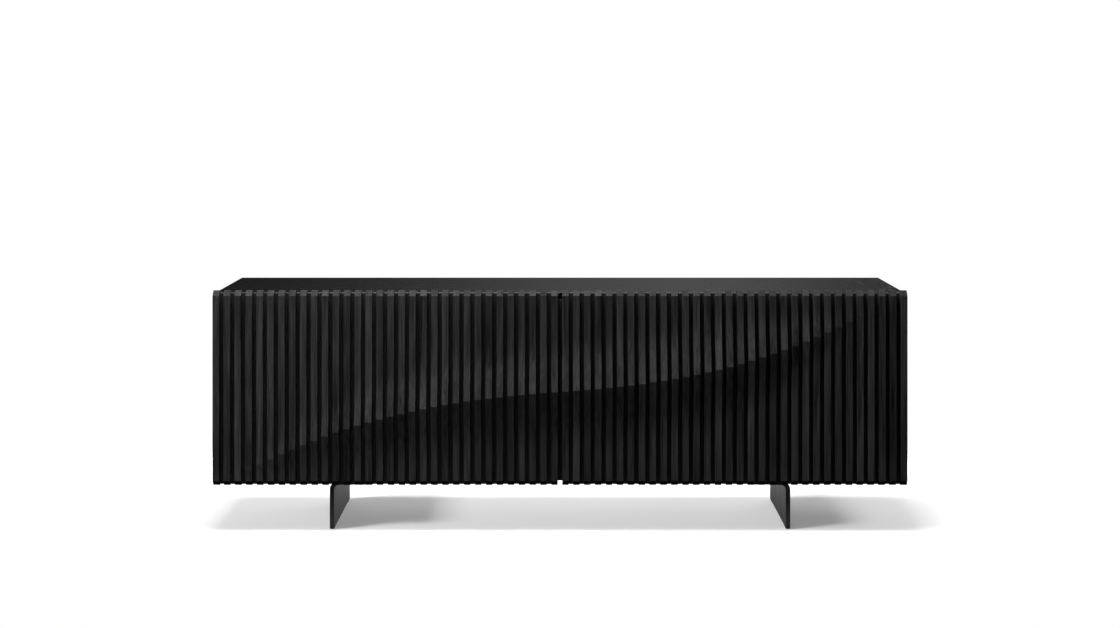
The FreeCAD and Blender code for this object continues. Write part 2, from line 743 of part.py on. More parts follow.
# ---------------------------------------------------------------- doors
def make_door_panel(name, side, screws):
    """Board behind the slats, with its back edge rounded on the hinge side and three cup bores."""
    body = DOC.addObject("PartDesign::Body", name + "_door_body")
    outer = from_edge(side, "0")
    inner = from_middle(side, HALF_GAP)
    corners = ((outer, SLAT_BACK), (inner, SLAT_BACK), (inner, BACKING_FACE), (outer, BACKING_FACE))
    sketch = outline_sketch(body, name + "_door_outline", "XY_Plane", corners, DOOR_LOW)
    blank = pad(body, name + "_door_pad", sketch, "%s - (%s)" % (TOP, DOOR_LOW))

    def hinge_edge(edge):
        points = [vertex.Point for vertex in edge.Vertexes]
        return all(
            abs(p.x - number(outer)) < NEAR and abs(p.y - number(BACKING_FACE)) < NEAR for p in points)

    round_edges(body, name + "_door_round", blank, "backing_round", hinge_edge)
    bores = []
    for tag, step in HINGE_LEVELS.items():
        start = (from_edge(side, "cup_inset"), "%s + overshoot" % BACKING_FACE, hinge_level(step))
        stem = "%s_%s_cup_bore" % (name, tag)
        bores.append(rod(stem, start, "-Y", "cup_radius + cup_play", "cup_depth + overshoot"))
    return sub_part(cut(name + "_door", body, bores + [screws]), name + "_door_panel")


def wave_level(share):
    """Height of the crest line at a share of the half width, from -1 on the left to +1."""
    gather = share * abs(share) ** (number("wave_power") - 1)
    return number("wave_middle") + number("wave_climb") * share + number("wave_sweep") * gather


def crest_height(level):
    """Rise of a crest: full at the peak level, dying away smoothly towards both ends of the slats."""
    peak = number("crest_peak")
    end = number("crest_high" if level > peak else "crest_low")
    away = min(1.0, (level - peak) / (end - peak))
    return number("crest_rise") * (1 + math.cos(math.pi * away)) / 2


def blend_rise(turn, height):
    """Rise of an arc that turns a vertical face by an angle within a height."""
    return height * math.tan(turn / 2)


def slope_angle(rise, ramp, blend):
    """Angle of a ramp so that ramp and blend together rise by the given amount."""
    turn = rise / (ramp + blend / 2)
    for _ in range(SOLVER_STEPS):
        excess = ramp * math.tan(turn) + blend_rise(turn, blend) - rise
        turn -= excess / (ramp + blend / 2)
    return turn


def bump_curves(level, rise, side, plain):
    """Arc and ramp on one side of the crest, from the plain face to the crest.

    side is -1 below the crest and +1 above it. Points are (Y, Z) of the front face.
    """
    words = {-1: "lower", 1: "upper"}
    scale = (rise / number("crest_rise")) ** number("slope_power")
    ramp = number(words[side] + "_ramp") * scale
    blend = number(words[side] + "_blend") * scale
    turn = slope_angle(rise, ramp, blend)
    radius = blend / math.sin(turn)

    def arc_point(angle):
        out = radius * (1 - math.cos(angle))
        return plain - out, level + side * (ramp + blend - radius * math.sin(angle))

    return arc_point(0), arc_point(turn / 2), arc_point(turn), (plain - rise, level)


def slat_wire(across):
    """Closed side outline of a slat at X = across, in the plane of its left face."""
    half_width = number(WIDTH) / 2
    centre = across + number("slat_width") / 2
    level = wave_level(centre / half_width)
    rise = crest_height(level)
    back = number(SLAT_BACK)
    plain = back - number("slat_depth")
    bevel = number("slat_bevel")
    low = number(DOOR_LOW)
    high = number(DOOR_HIGH)

    def vector(point):
        return FreeCAD.Vector(across, point[0], point[1])

    def line(start, end):
        return Part.LineSegment(vector(start), vector(end)).toShape()

    below = [(plain + bevel, low), (plain, low + bevel)]
    above = [(plain, high - bevel), (plain + bevel, high)]
    edges = [line((back, low), below[0]), line(below[0], below[1])]
    if rise > number("least_crest"):
        foot, foot_mid, foot_end, crest = bump_curves(level, rise, -1, plain)
        head, head_mid, head_end, _ = bump_curves(level, rise, 1, plain)
        edges += [
            line(below[1], foot),
            Part.Arc(vector(foot), vector(foot_mid), vector(foot_end)).toShape(),
            line(foot_end, crest),
            line(crest, head_end),
            Part.Arc(vector(head_end), vector(head_mid), vector(head)).toShape(),
            line(head, above[0]),
        ]
    else:
        edges.append(line(below[1], above[0]))
    edges += [line(above[0], above[1]), line(above[1], (back, high)), line((back, high), (back, low))]
    return Part.Wire(edges)


def make_slats(name, side):
    """Slats of one door in nodes of eight, numbered outwards from the middle."""
    count = int(number("slats_per_door"))
    pitch = number("slat_pitch")
    for first in range(0, count, SLATS_PER_NODE):
        slats = []
        for index in range(first, first + SLATS_PER_NODE):
            near = number(HALF_GAP) + index * pitch
            across = near if side > 0 else -near - number("slat_width")
            profile = DOC.addObject("Part::Feature", "%s_slat_outline_%d" % (name, index))
            profile.Shape = slat_wire(across)
            slat = DOC.addObject("Part::Extrusion", "%s_slat_%d" % (name, index))
            slat.Base = profile
            slat.DirMode = "Custom"
            slat.Dir = FreeCAD.Vector(1, 0, 0)
            slat.Solid = True
            slat.setExpression("LengthFwd", bound("slat_width"))
            slats.append(slat)
        number_in_door = first // SLATS_PER_NODE + 1
        label = "%s_door_slats_%d" % (name, number_in_door)
        sub_part(group("%s_slat_group_%d" % (name, number_in_door), slats), label)


# ---------------------------------------------------------------- assembly
def build():
    """Make every sub-part, fasteners first because the boards are bored for them."""
    dowels = make_dowels()
    cam_bolts = make_cam_bolts()
    cam_blanks = make_cam_discs()
    cutters = {
        "joints": [dowels, cam_bolts],
        "cams": [cam_blanks],
        "back": [make_back_screws()],
        "pins": [make_shelf_pins()],
        "latches": [make_latch_screws()],
        "legs": [],
    }
    for name, side in MIDDLE_SIDES.items():
        bolts = make_leg_bolts(name, side)
        cutters["legs"].append(bolts)
        make_leg(name, side, bolts)
        make_glides(name, side)
        plate_screws = make_plate_screws(name, side)
        cutters[name + "_plates"] = plate_screws
        cup_screws = make_cup_screws(name, side)
        for tag, step in HINGE_LEVELS.items():
            make_hinge_plate(name, side, tag, step, plate_screws)
            make_hinge_arm(name, side, tag, step, plate_screws)
            make_hinge_cup(name, side, tag, step, cup_screws)
        housing = make_latch(name, side)
        bore = make_latch_bore(name, side)
        label = name + "_latch_housing"
        sub_part(cut(name + "_housing", housing, [bore] + cutters["latches"]), label)
        make_plunger(name, side)
        make_strike(name, side)
        make_door_panel(name, side, cup_screws)
        make_slats(name, side)
    make_boards(cutters)
    DOC.recompute()


def check():
    """Stop on any failed object and on any sub-part without a sound shape."""
    for item in DOC.Objects:
        if "Invalid" in item.State or "Error" in item.State:
            raise RuntimeError("%s failed: %s" % (item.Name, item.State))
    for item in PARTS:
        if item.Shape.isNull() or not item.Shape.isValid():
            raise RuntimeError("%s has no valid shape" % item.Label)
        if not item.Shape.Solids:
            raise RuntimeError("%s has no solid" % item.Label)


def export():
    """One STEP file for each sub-part."""
    os.makedirs("parts", exist_ok=True)
    for item in PARTS:
        item.Shape.exportStep("parts/%s.step" % item.Label)


build()
check()
export()
whole = Part.makeCompound([item.Shape for item in PARTS]).BoundBox
print("%d sub-parts, X %.1f..%.1f, Y %.1f..%.1f, Z %.1f..%.1f" % (
    len(PARTS), whole.XMin, whole.XMax, whole.YMin, whole.YMax, whole.ZMin, whole.ZMax))
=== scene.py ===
"""Low sideboard with two doors of carved black slats, finished on its fixed CAD frame.

The file is laid out as an add-on: sizes and colours are properties, each kind of piece has an
operator, and a sidebar panel lists them. Run as a script, it makes the whole object and its stage.
Everything is in metres: +X runs along the sideboard to the right, the doors face -Y, +Z is up and
the floor is Z = 0.
"""

import math
from typing import NamedTuple

import bmesh
import bpy
from bpy.props import FloatProperty, FloatVectorProperty, IntProperty, PointerProperty
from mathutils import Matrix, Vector


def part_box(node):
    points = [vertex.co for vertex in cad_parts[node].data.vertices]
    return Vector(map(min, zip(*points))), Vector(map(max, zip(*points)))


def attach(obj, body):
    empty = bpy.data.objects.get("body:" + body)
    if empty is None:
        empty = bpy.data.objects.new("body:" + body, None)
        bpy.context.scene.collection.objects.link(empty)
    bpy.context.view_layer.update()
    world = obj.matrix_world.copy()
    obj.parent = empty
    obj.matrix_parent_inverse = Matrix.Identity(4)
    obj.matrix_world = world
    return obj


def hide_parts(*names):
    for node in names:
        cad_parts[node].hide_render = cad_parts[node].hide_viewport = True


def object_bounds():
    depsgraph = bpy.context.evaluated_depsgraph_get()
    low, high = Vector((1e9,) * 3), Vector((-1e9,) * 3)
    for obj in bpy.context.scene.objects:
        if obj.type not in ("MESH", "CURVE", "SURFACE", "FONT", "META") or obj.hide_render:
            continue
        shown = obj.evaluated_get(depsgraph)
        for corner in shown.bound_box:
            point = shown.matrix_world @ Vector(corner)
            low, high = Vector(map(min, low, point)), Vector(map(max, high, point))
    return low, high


bl_info = {
    "name": "Carved Slat Sideboard",
    "version": (1, 0, 0),
    "blender": (4, 5, 0),
    "location": "View3D > Sidebar > Sideboard",
    "description": "Finishes a slatted sideboard with wood, steel and a plain studio",
    "category": "Object",
}

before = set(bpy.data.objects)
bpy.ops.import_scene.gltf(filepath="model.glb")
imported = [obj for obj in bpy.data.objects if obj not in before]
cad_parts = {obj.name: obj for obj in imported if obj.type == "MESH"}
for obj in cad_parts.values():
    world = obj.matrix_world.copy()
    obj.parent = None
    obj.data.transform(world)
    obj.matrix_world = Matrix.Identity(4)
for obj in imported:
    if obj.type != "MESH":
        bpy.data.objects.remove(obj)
CAD_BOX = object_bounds()
SIDES = {"left": -1, "right": 1}
HINGES = ("lower", "middle", "upper")
SLAT_NODES = 4
SLATS_PER_NODE = 8


# ---- measures taken from the frame
def joined_box(nodes):
    """Lowest and highest corner of several CAD nodes together."""
    boxes = [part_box(node) for node in nodes]
    low = Vector([min(box[0][axis] for box in boxes) for axis in range(3)])
    high = Vector([max(box[1][axis] for box in boxes) for axis in range(3)])
    return low, high


def slat_nodes(side):
    """Names of the slat nodes of one door, from the middle outwards."""
    return ["%s_door_slats_%d" % (side, number + 1) for number in range(SLAT_NODES)]


def slat_pitch():
    """Distance from slat to slat, from two neighbouring slat nodes."""
    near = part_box("right_door_slats_1")[0].x
    next_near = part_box("right_door_slats_2")[0].x
    return (next_near - near) / SLATS_PER_NODE


def slat_width():
    """Width of one slat, from the width of a node of eight."""
    low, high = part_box("right_door_slats_1")
    return high.x - low.x - (SLATS_PER_NODE - 1) * slat_pitch()


# ---- properties
def length(name, description, default):
    """A length property in metres."""
    return FloatProperty(
        name=name, description=description, default=default, min=0.0, precision=4,
        subtype="DISTANCE", unit="LENGTH")


def colour(name, description, default):
    """A linear colour property."""
    return FloatVectorProperty(
        name=name, description=description, default=default, size=3, min=0.0, max=1.0, subtype="COLOR")


def share(name, description, default, top=1.0):
    """A plain number property."""
    return FloatProperty(name=name, description=description, default=default, min=0.0, max=top)


def power(name, description, default):
    """The power of a light, in watts."""
    return FloatProperty(name=name, description=description, default=default, unit="POWER")


class SlatSizes(bpy.types.PropertyGroup):
    """Sizes of the carved slats."""

    bevel: length("End Bevel", "45 degree bevel at both slat ends", 0.014)
    depth: length("Plain Depth", "Depth of a slat away from its crest", 0.027)
    wave_middle: length("Wave Middle", "Level of the crest line at the middle of the sideboard", 0.4178)
    wave_climb: length("Wave Climb", "Even part of its climb from the middle to one end", 0.07455)
    wave_sweep: length("Wave Sweep", "Part of the climb that gathers towards the end", 0.21934)
    wave_power: share("Wave Power", "How late that part gathers", 2.5, 6.0)
    crest: length("Crest", "How far the tallest crest stands in front of the plain face", 0.028)
    crest_peak: length("Crest Peak", "Level of the tallest crest", 0.458)
    crest_low: length("Crest Low", "Lower level where the crest has died away", 0.152)
    crest_high: length("Crest High", "Upper level where the crest has died away", 0.652)
    least_crest: length("Least Crest", "A slat with a lower crest stays plain", 0.0003)
    slope_power: share("Slope Power", "How the height of the slopes follows the rise of the crest", 0.6, 2.0)
    upper_ramp: length("Upper Ramp", "Height of the slope above the tallest crest", 0.075)
    upper_blend: length("Upper Blend", "Height of the curve from that slope to the plain face", 0.085)
    lower_ramp: length("Lower Ramp", "Height of the slope below the tallest crest", 0.085)
    lower_blend: length("Lower Blend", "Height of the curve from that slope to the plain face", 0.090)
    ease: length("Eased Edge", "Rounding of the long edges of a slat", 0.0007)
    rows: IntProperty(name="Rows", description="Rows of faces on each side of a crest", default=20, min=4)


class BoardSizes(bpy.types.PropertyGroup):
    """Edge sizes of boards and metal parts."""

    board_ease: length("Board Edge", "Rounding of the edges of boards", 0.0008)
    leg_ease: length("Leg Edge", "Rounding of the edges of the leg plates", 0.0012)
    metal_ease: length("Fitting Edge", "Rounding of the edges of hinges and latches", 0.0003)


class ScrewSizes(bpy.types.PropertyGroup):
    """Recess sizes of the screws."""

    cross_arm: length("Cross Arm", "Width of an arm of the cross recess", 0.0011)
    cross_depth: length("Cross Depth", "Depth of the cross recess", 0.0012)
    dome: share("Dome", "Radius of a head's top as a share of its base", 0.72)
    socket: share("Socket", "Radius of a bolt's hexagon socket as a share of its head", 0.55)


class Finishes(bpy.types.PropertyGroup):
    """Colours of the finishes."""

    slat: colour("Stained Oak", "Slats, open-grained oak stained black", (0.0114, 0.0114, 0.0114))
    top: colour("Satin Top", "Top panel, smooth black veneer", (0.0010, 0.0010, 0.0010))
    board: colour("Black Board", "Carcass boards and door panels", (0.008, 0.008, 0.008))
    back: colour("Back Board", "Thin board of the back", (0.014, 0.014, 0.014))
    graphite: colour("Graphite Coat", "Powder coat of the legs", (0.027, 0.027, 0.026))
    nickel: colour("Nickel", "Hinges, pins and screws", (0.56, 0.54, 0.50))
    zinc: colour("Zinc", "Cam discs", (0.42, 0.42, 0.43))
    black_steel: colour("Black Steel", "Leg bolts", (0.020, 0.020, 0.021))
    plastic: colour("Black Plastic", "Latch housings and glides", (0.018, 0.018, 0.019))
    beech: colour("Beech", "Dowels", (0.47, 0.31, 0.18))


class StageSizes(bpy.types.PropertyGroup):
    """Camera, floor and lights."""

    distance: length("Camera Distance", "From the lens to the plain face of the slats", 5.376)
    eye: length("Camera Height", "Height of the lens above the floor", 1.2714)
    lens: FloatProperty(name="Lens", description="Focal length", default=59.03, subtype="DISTANCE_CAMERA")
    fall: FloatProperty(name="Fall", description="Vertical lens shift in picture widths", default=-0.19196)
    floor: colour("Floor", "Pale floor", (0.90, 0.90, 0.90))
    lift: share("Floor Lift", "Light added to the floor as the camera sees it", 0.22, 4.0)
    backdrop: share("Backdrop", "Brightness of the backdrop", 1.0, 4.0)
    ambient: share("Ambient", "Brightness of the room around the object", 0.13, 4.0)
    glow: share("Glow", "Brightness of the soft patch that the top mirrors", 0.15, 4.0)
    overhead: power("Overhead", "Large soft light above", 200.0)
    front: power("Front", "High soft light in front", 170.0)
    side: power("Side", "Soft light from the left", 480.0)
    leg_shade: power("Leg Shade", "Light on the floor that only the legs shade", 1100.0)
    bounce: power("Bounce", "Light off the floor behind", 34.0)
    rear: power("Rear", "Weak light behind on the right", 25.0)


SETTINGS = {
    "sideboard_slats": SlatSizes,
    "sideboard_boards": BoardSizes,
    "sideboard_screws": ScrewSizes,
    "sideboard_finishes": Finishes,
    "sideboard_stage": StageSizes,
}


# ---- node trees
class Term:
    """A number inside a node tree, so that a formula is written as one."""

    def __init__(self, sheet, socket):
        self.sheet = sheet
        self.socket = socket

    def __add__(self, other):
        return self.sheet.math("ADD", self, other)

    def __radd__(self, other):
        return self.sheet.math("ADD", other, self)

    def __sub__(self, other):
        return self.sheet.math("SUBTRACT", self, other)

    def __rsub__(self, other):
        return self.sheet.math("SUBTRACT", other, self)

    def __mul__(self, other):
        return self.sheet.math("MULTIPLY", self, other)

    def __rmul__(self, other):
        return self.sheet.math("MULTIPLY", other, self)

    def __truediv__(self, other):
        return self.sheet.math("DIVIDE", self, other)

    def __pow__(self, other):
        return self.sheet.math("POWER", self, other)

    def __gt__(self, other):
        return self.sheet.math("GREATER_THAN", self, other)

    def __lt__(self, other):
        return self.sheet.math("LESS_THAN", self, other)

    def __abs__(self):
        return self.sheet.math("ABSOLUTE", self)


class Sheet:
    """Adds and joins the nodes of one tree."""

    def __init__(self, tree):
        self.tree = tree

    def feed(self, socket, value):
        """Join a value to a socket, or set it there."""
        if isinstance(value, Term):
            value = value.socket
        if isinstance(value, bpy.types.NodeSocket):
            self.tree.links.new(value, socket)
        elif value is not None:
            socket.default_value = value

    def add(self, kind, inputs=None, **settings):
        """New node with its settings and inputs."""
        node = self.tree.nodes.new(kind)
        for key, value in settings.items():
            setattr(node, key, value)
        for key, value in (inputs or {}).items():
            self.feed(node.inputs[key], value)
        return node

    def math(self, operation, first, second=None):
        """Math node as a term."""
        return Term(self, self.add("ShaderNodeMath", {0: first, 1: second}, operation=operation).outputs[0])

    def xyz(self, **parts):
        """Vector from its X, Y and Z. A part that is left out is 0."""
        return self.add("ShaderNodeCombineXYZ", parts).outputs[0]

    def parts(self, vector):
        """X, Y and Z of a vector, as terms."""
        return [Term(self, output) for output in self.add("ShaderNodeSeparateXYZ", {0: vector}).outputs]

    def smallest(self, first, second):
        """The smaller of two values."""
        return self.math("MINIMUM", first, second)

    def largest(self, first, second):
        """The larger of two values."""
        return self.math("MAXIMUM", first, second)

    def choose(self, test, yes, no):
        """Yes where the test is 1 and no where it is 0."""
        return test * yes + (1.0 - test) * no

    def socket(self, name, kind, default=None, out=False):
        """Named input or output of the tree itself."""
        made = self.tree.interface.new_socket(
            name=name, in_out="OUTPUT" if out else "INPUT", socket_type="NodeSocket" + kind)
        if default is not None:
            made.default_value = default
        return made

    def map_range(self, value, low, high, to_low=0.0, to_high=1.0, smooth=False):
        """Clamped remapping of a value."""
        kind = "SMOOTHSTEP" if smooth else "LINEAR"
        inputs = {"Value": value, "From Min": low, "From Max": high, "To Min": to_low, "To Max": to_high}
        node = self.add("ShaderNodeMapRange", inputs, interpolation_type=kind)
        return Term(self, node.outputs["Result"])

    def mix_colour(self, factor, first, second):
        """Colour mix."""
        node = self.add("ShaderNodeMix", data_type="RGBA")
        self.feed(node.inputs["Factor"], factor)
        self.feed(node.inputs[6], first)
        self.feed(node.inputs[7], second)
        return node.outputs[2]


def new_tree(name, kind):
    """Empty node tree."""
    return Sheet(bpy.data.node_groups.new(name, kind))


def rgba(rgb, scale=1.0):
    """Four numbers for a colour socket."""
    return (*[channel * scale for channel in rgb], 1.0)


# ---- shader groups
SEED_SPREAD = 37.0  # distance in noise space between the lowest and the highest seed


def wood_grain_group():
    """Open grain that runs along Z, with fibres, pores and broad clouds."""
    sheet = new_tree("Wood Grain", "ShaderNodeTree")
    sheet.socket("Vector", "Vector")
    sheet.socket("Seed", "Float", 0.0)
    sheet.socket("Fibres", "Float", 420.0)
    sheet.socket("Stretch", "Float", 0.035)
    for name in ("Fibre", "Pore", "Cloud", "Height"):
        sheet.socket(name, "Float", out=True)
    entry = sheet.add("NodeGroupInput")
    seed = Term(sheet, entry.outputs["Seed"])
    fibres = Term(sheet, entry.outputs["Fibres"])
    stretch = Term(sheet, entry.outputs["Stretch"])

    def noise(across, along, detail, offset):
        """Noise drawn out along the grain."""
        scale = sheet.xyz(X=across, Y=across, Z=along)
        place = sheet.add("ShaderNodeVectorMath", {0: entry.outputs["Vector"], 1: scale},
                          operation="MULTIPLY")
        node = sheet.add("ShaderNodeTexNoise",
                         {"Vector": place.outputs[0], "W": seed * SEED_SPREAD + offset, "Scale": 1.0,
                          "Detail": detail, "Roughness": 0.55},
                         noise_dimensions="4D")
        return Term(sheet, node.outputs["Fac"])

    fibre = sheet.map_range(noise(fibres, fibres * stretch, 4.0, 0.0), 0.30, 0.70)
    pore_field = noise(fibres * 3.2, fibres * stretch * 2.4, 1.0, 11.0)
    pore = sheet.map_range(pore_field, 0.60, 0.70)
    cloud = sheet.map_range(noise(fibres * 0.10, fibres * stretch * 0.20, 2.0, 23.0), 0.32, 0.68)
    height = fibre * 0.35 - pore * 0.65
    finish = sheet.add("NodeGroupOutput")
    for name, value in (("Fibre", fibre), ("Pore", pore), ("Cloud", cloud), ("Height", height)):
        sheet.feed(finish.inputs[name], value)
    return sheet.tree


def fine_texture_group():
    """Fine even texture of powder coat and moulded plastic."""
    sheet = new_tree("Fine Texture", "ShaderNodeTree")
    sheet.socket("Vector", "Vector")
    sheet.socket("Grains", "Float", 1500.0)
    for name in ("Height", "Mottle"):
        sheet.socket(name, "Float", out=True)
    entry = sheet.add("NodeGroupInput")
    grains = Term(sheet, entry.outputs["Grains"])
    place = entry.outputs["Vector"]
    fine = sheet.add("ShaderNodeTexNoise", {"Vector": place, "Scale": grains, "Detail": 2.0})
    broad = sheet.add("ShaderNodeTexNoise", {"Vector": place, "Scale": grains * 0.012, "Detail": 3.0})
    finish = sheet.add("NodeGroupOutput")
    sheet.feed(finish.inputs["Height"], fine.outputs["Fac"])
    sheet.feed(finish.inputs["Mottle"], broad.outputs["Fac"])
    return sheet.tree


def brushed_group():
    """Brushed streaks along Z for plated and cast metal."""
    sheet = new_tree("Brushed Metal", "ShaderNodeTree")
    sheet.socket("Vector", "Vector")
    sheet.socket("Streak", "Float", out=True)
    entry = sheet.add("NodeGroupInput")
    place = sheet.add("ShaderNodeVectorMath", {0: entry.outputs["Vector"], 1: (2600.0, 2600.0, 120.0)},
                      operation="MULTIPLY")
    noise = sheet.add("ShaderNodeTexNoise", {"Vector": place.outputs[0], "Scale": 1.0, "Detail": 3.0})
    streak = sheet.map_range(Term(sheet, noise.outputs["Fac"]), 0.3, 0.7)
    sheet.feed(sheet.add("NodeGroupOutput").inputs["Streak"], streak)
    return sheet.tree


GROUPS = {
    "Wood Grain": wood_grain_group,
    "Fine Texture": fine_texture_group,
    "Brushed Metal": brushed_group,
}


def group_node(sheet, name, inputs):
    """A shader group placed in a material, built on first use."""
    tree = bpy.data.node_groups.get(name) or GROUPS[name]()
    node = sheet.add("ShaderNodeGroup", node_tree=tree)
    for key, value in inputs.items():
        sheet.feed(node.inputs[key], value)
    return node


# ---- materials
def new_material(name, **plain):
    """Material with a Principled shader, with its uniform values set on the shader's own sockets."""
    material = bpy.data.materials.new(name + "_detail")
    material.use_nodes = True
    sheet = Sheet(material.node_tree)
    shader = material.node_tree.nodes["Principled BSDF"]
    for key, value in plain.items():
        shader.inputs[key.replace("_", " ")].default_value = value
    return material, sheet, shader


def object_place(sheet, turn=(0.0, 0.0, 0.0)):
    """Object coordinates, turned so that the grain's Z lies where it should."""
    place = sheet.add("ShaderNodeTexCoord")
    mapping = sheet.add("ShaderNodeMapping", {"Vector": place.outputs["Object"], "Rotation": turn})
    return mapping.outputs[0]


def tint(sheet, shader, rgb, level):
    """Set a shader's colour to a plain colour times a level."""
    tone = sheet.add("ShaderNodeVectorMath", {0: tuple(rgb), "Scale": level}, operation="SCALE")
    sheet.feed(shader.inputs["Base Color"], tone.outputs[0])


def add_bump(sheet, shader, height, distance):
    """Bump from a height to the shader's normal."""
    node = sheet.add("ShaderNodeBump", {"Height": height, "Distance": distance, "Strength": 1.0})
    sheet.feed(shader.inputs["Normal"], node.outputs[0])


GRAIN_UP = (0.0, 0.0, 0.0)
GRAIN_ALONG = (0.0, math.radians(90.0), 0.0)


def wood_material(name, rgb, turn, roughness, contrast, pores, relief, fibres=420.0, seed=None,
                  specular=0.4):
    """Veneer or solid wood.

    contrast is the spread of tone across the fibres and pores is how dark the pores are. seed names an
    attribute that holds a tone for each slat. Such wood also shows end grain, rougher and darker, where
    it faces up or down.
    """
    material, sheet, shader = new_material(name, Specular_IOR_Level=specular)
    tone = 0.5
    if seed:
        attribute = sheet.add("ShaderNodeAttribute", attribute_name=seed)
        tone = Term(sheet, attribute.outputs["Fac"])
    inputs = {"Vector": object_place(sheet, turn), "Seed": tone, "Fibres": fibres}
    grain = group_node(sheet, "Wood Grain", inputs)
    fibre = Term(sheet, grain.outputs["Fibre"])
    cloud = Term(sheet, grain.outputs["Cloud"])
    pore = Term(sheet, grain.outputs["Pore"])
    level = 1.0 + contrast * (fibre - 0.5) + contrast * 0.9 * (cloud - 0.5)
    rough = roughness + 0.10 * (fibre - 0.5) + 0.18 * pore
    if seed:
        level = level * (0.70 + 0.60 * tone)
        upright = sheet.parts(sheet.add("ShaderNodeNewGeometry").outputs["Normal"])[2]
        end_grain = sheet.map_range(abs(upright), 0.45, 0.60)
        level = level * (1.0 - end_grain * (0.25 + 0.50 * cloud))
        rough = rough + end_grain * (0.20 + 0.25 * cloud)
    tint(sheet, shader, rgb, level * (1.0 - pores * pore))
    sheet.feed(shader.inputs["Roughness"], rough)
    add_bump(sheet, shader, grain.outputs["Height"], relief)
    return material


def coated_material(name, rgb, roughness, grains, relief, specular=0.5):
    """Powder coat or moulded plastic."""
    material, sheet, shader = new_material(name, Specular_IOR_Level=specular)
    texture = group_node(sheet, "Fine Texture", {"Vector": object_place(sheet), "Grains": grains})
    mottle = Term(sheet, texture.outputs["Mottle"])
    tint(sheet, shader, rgb, 0.88 + 0.24 * mottle)
    sheet.feed(shader.inputs["Roughness"], roughness - 0.06 + 0.12 * mottle)
    add_bump(sheet, shader, texture.outputs["Height"], relief)
    return material


def metal_material(name, rgb, roughness, relief):
    """Plated or cast metal with fine brushing."""
    material, sheet, shader = new_material(name, Metallic=1.0)
    brushed = group_node(sheet, "Brushed Metal", {"Vector": object_place(sheet)})
    streak = Term(sheet, brushed.outputs["Streak"])
    tint(sheet, shader, rgb, 0.90 + 0.20 * streak)
    sheet.feed(shader.inputs["Roughness"], roughness - 0.05 + 0.10 * streak)
    add_bump(sheet, shader, streak, relief)
    return material


BOARD_LOOK = {"roughness": 0.48, "contrast": 0.35, "pores": 0.30, "relief": 0.00008}

# Each finish: its maker, the name of its colour in the settings, and its own values.
RECIPES = {
    "black_stained_oak": (wood_material, "slat", {
        "turn": GRAIN_UP, "roughness": 0.52, "contrast": 1.35, "pores": 0.45, "relief": 0.00022,
        "fibres": 240.0, "seed": "slat_tone", "specular": 0.2}),
    "black_satin_top": (wood_material, "top", {
        "turn": GRAIN_ALONG, "roughness": 0.19, "contrast": 0.60, "pores": 0.15, "relief": 0.000004,
        "specular": 0.45}),
    "black_board": (wood_material, "board", {"turn": GRAIN_UP, **BOARD_LOOK}),
    "black_shelf_board": (wood_material, "board", {"turn": GRAIN_ALONG, **BOARD_LOOK}),
    "black_back_board": (wood_material, "back", {
        "turn": GRAIN_UP, "roughness": 0.60, "contrast": 0.25, "pores": 0.20, "relief": 0.00005,
        "fibres": 260.0}),
    "graphite_steel": (coated_material, "graphite", {
        "roughness": 0.42, "grains": 1500.0, "relief": 0.00006}),
    "black_bolt_steel": (coated_material, "black_steel", {
        "roughness": 0.38, "grains": 2600.0, "relief": 0.00002}),
    "black_plastic": (coated_material, "plastic", {
        "roughness": 0.55, "grains": 2200.0, "relief": 0.00004, "specular": 0.4}),
    "nickel_steel": (metal_material, "nickel", {"roughness": 0.26, "relief": 0.00001}),
    "zinc_cam": (metal_material, "zinc", {"roughness": 0.42, "relief": 0.00003}),
    "beech_dowel": (wood_material, "beech", {
        "turn": GRAIN_UP, "roughness": 0.60, "contrast": 0.25, "pores": 0.20, "relief": 0.00010,
        "fibres": 900.0}),
}

FINISHED = {}


def finish(name):
    """The material of a finish, made on first use."""
    if name not in FINISHED:
        maker, colour_name, values = RECIPES[name]
        rgb = getattr(bpy.context.scene.sideboard_finishes, colour_name)
        FINISHED[name] = maker(name, rgb, **values)
    return FINISHED[name]


# ---- pieces
WELD = 0.000002  # corners closer than this are one corner
FLAT_TURN = math.radians(0.3)  # faces that turn less than this are one flat face
SHARP_TURN = math.radians(30.0)  # edges that turn more than this are shaded sharp
ARRIS_TURN = math.radians(50.0)  # edges that turn more than this can be rounded
BOARD_ARRIS = 0.012  # shortest edge of a board that is rounded
FITTING_ARRIS = 0.004  # shortest edge of a hinge part that is rounded


def new_object(name, mesh):
    """Object in the scene for a mesh."""
    item = bpy.data.objects.new(name, mesh)
    bpy.context.scene.collection.objects.link(item)
    return item


def bake_modifiers(item):
    """Turn an object's evaluated result into its plain mesh and drop the modifiers."""
    graph = bpy.context.evaluated_depsgraph_get()
    graph.update()
    mesh = bpy.data.meshes.new_from_object(item.evaluated_get(graph), preserve_all_data_layers=True,
                                           depsgraph=graph)
    item.modifiers.clear()
    old = item.data
    item.data = mesh
    mesh.name = item.name
    bpy.data.meshes.remove(old)
    if not mesh.polygons:
        raise RuntimeError("%s came out empty" % item.name)


def add_bevel(item, width, angle=None, segments=2):
    """Live bevel by edge weight, or by angle where one is given."""
    bevel = item.modifiers.new("Eased Edges", "BEVEL")
    bevel.width = width
    bevel.segments = segments
    bevel.limit_method = "ANGLE" if angle else "WEIGHT"
    if angle:
        bevel.angle_limit = angle
    bevel.harden_normals = True
    bevel.use_clamp_overlap = True


def set_finish(item, slot_name, material_name=None):
    """Give a piece its only material: the finish named by slot_name, or by material_name where one is given.
    """
    item.data.materials.clear()
    item.data.materials.append(finish(material_name or slot_name))


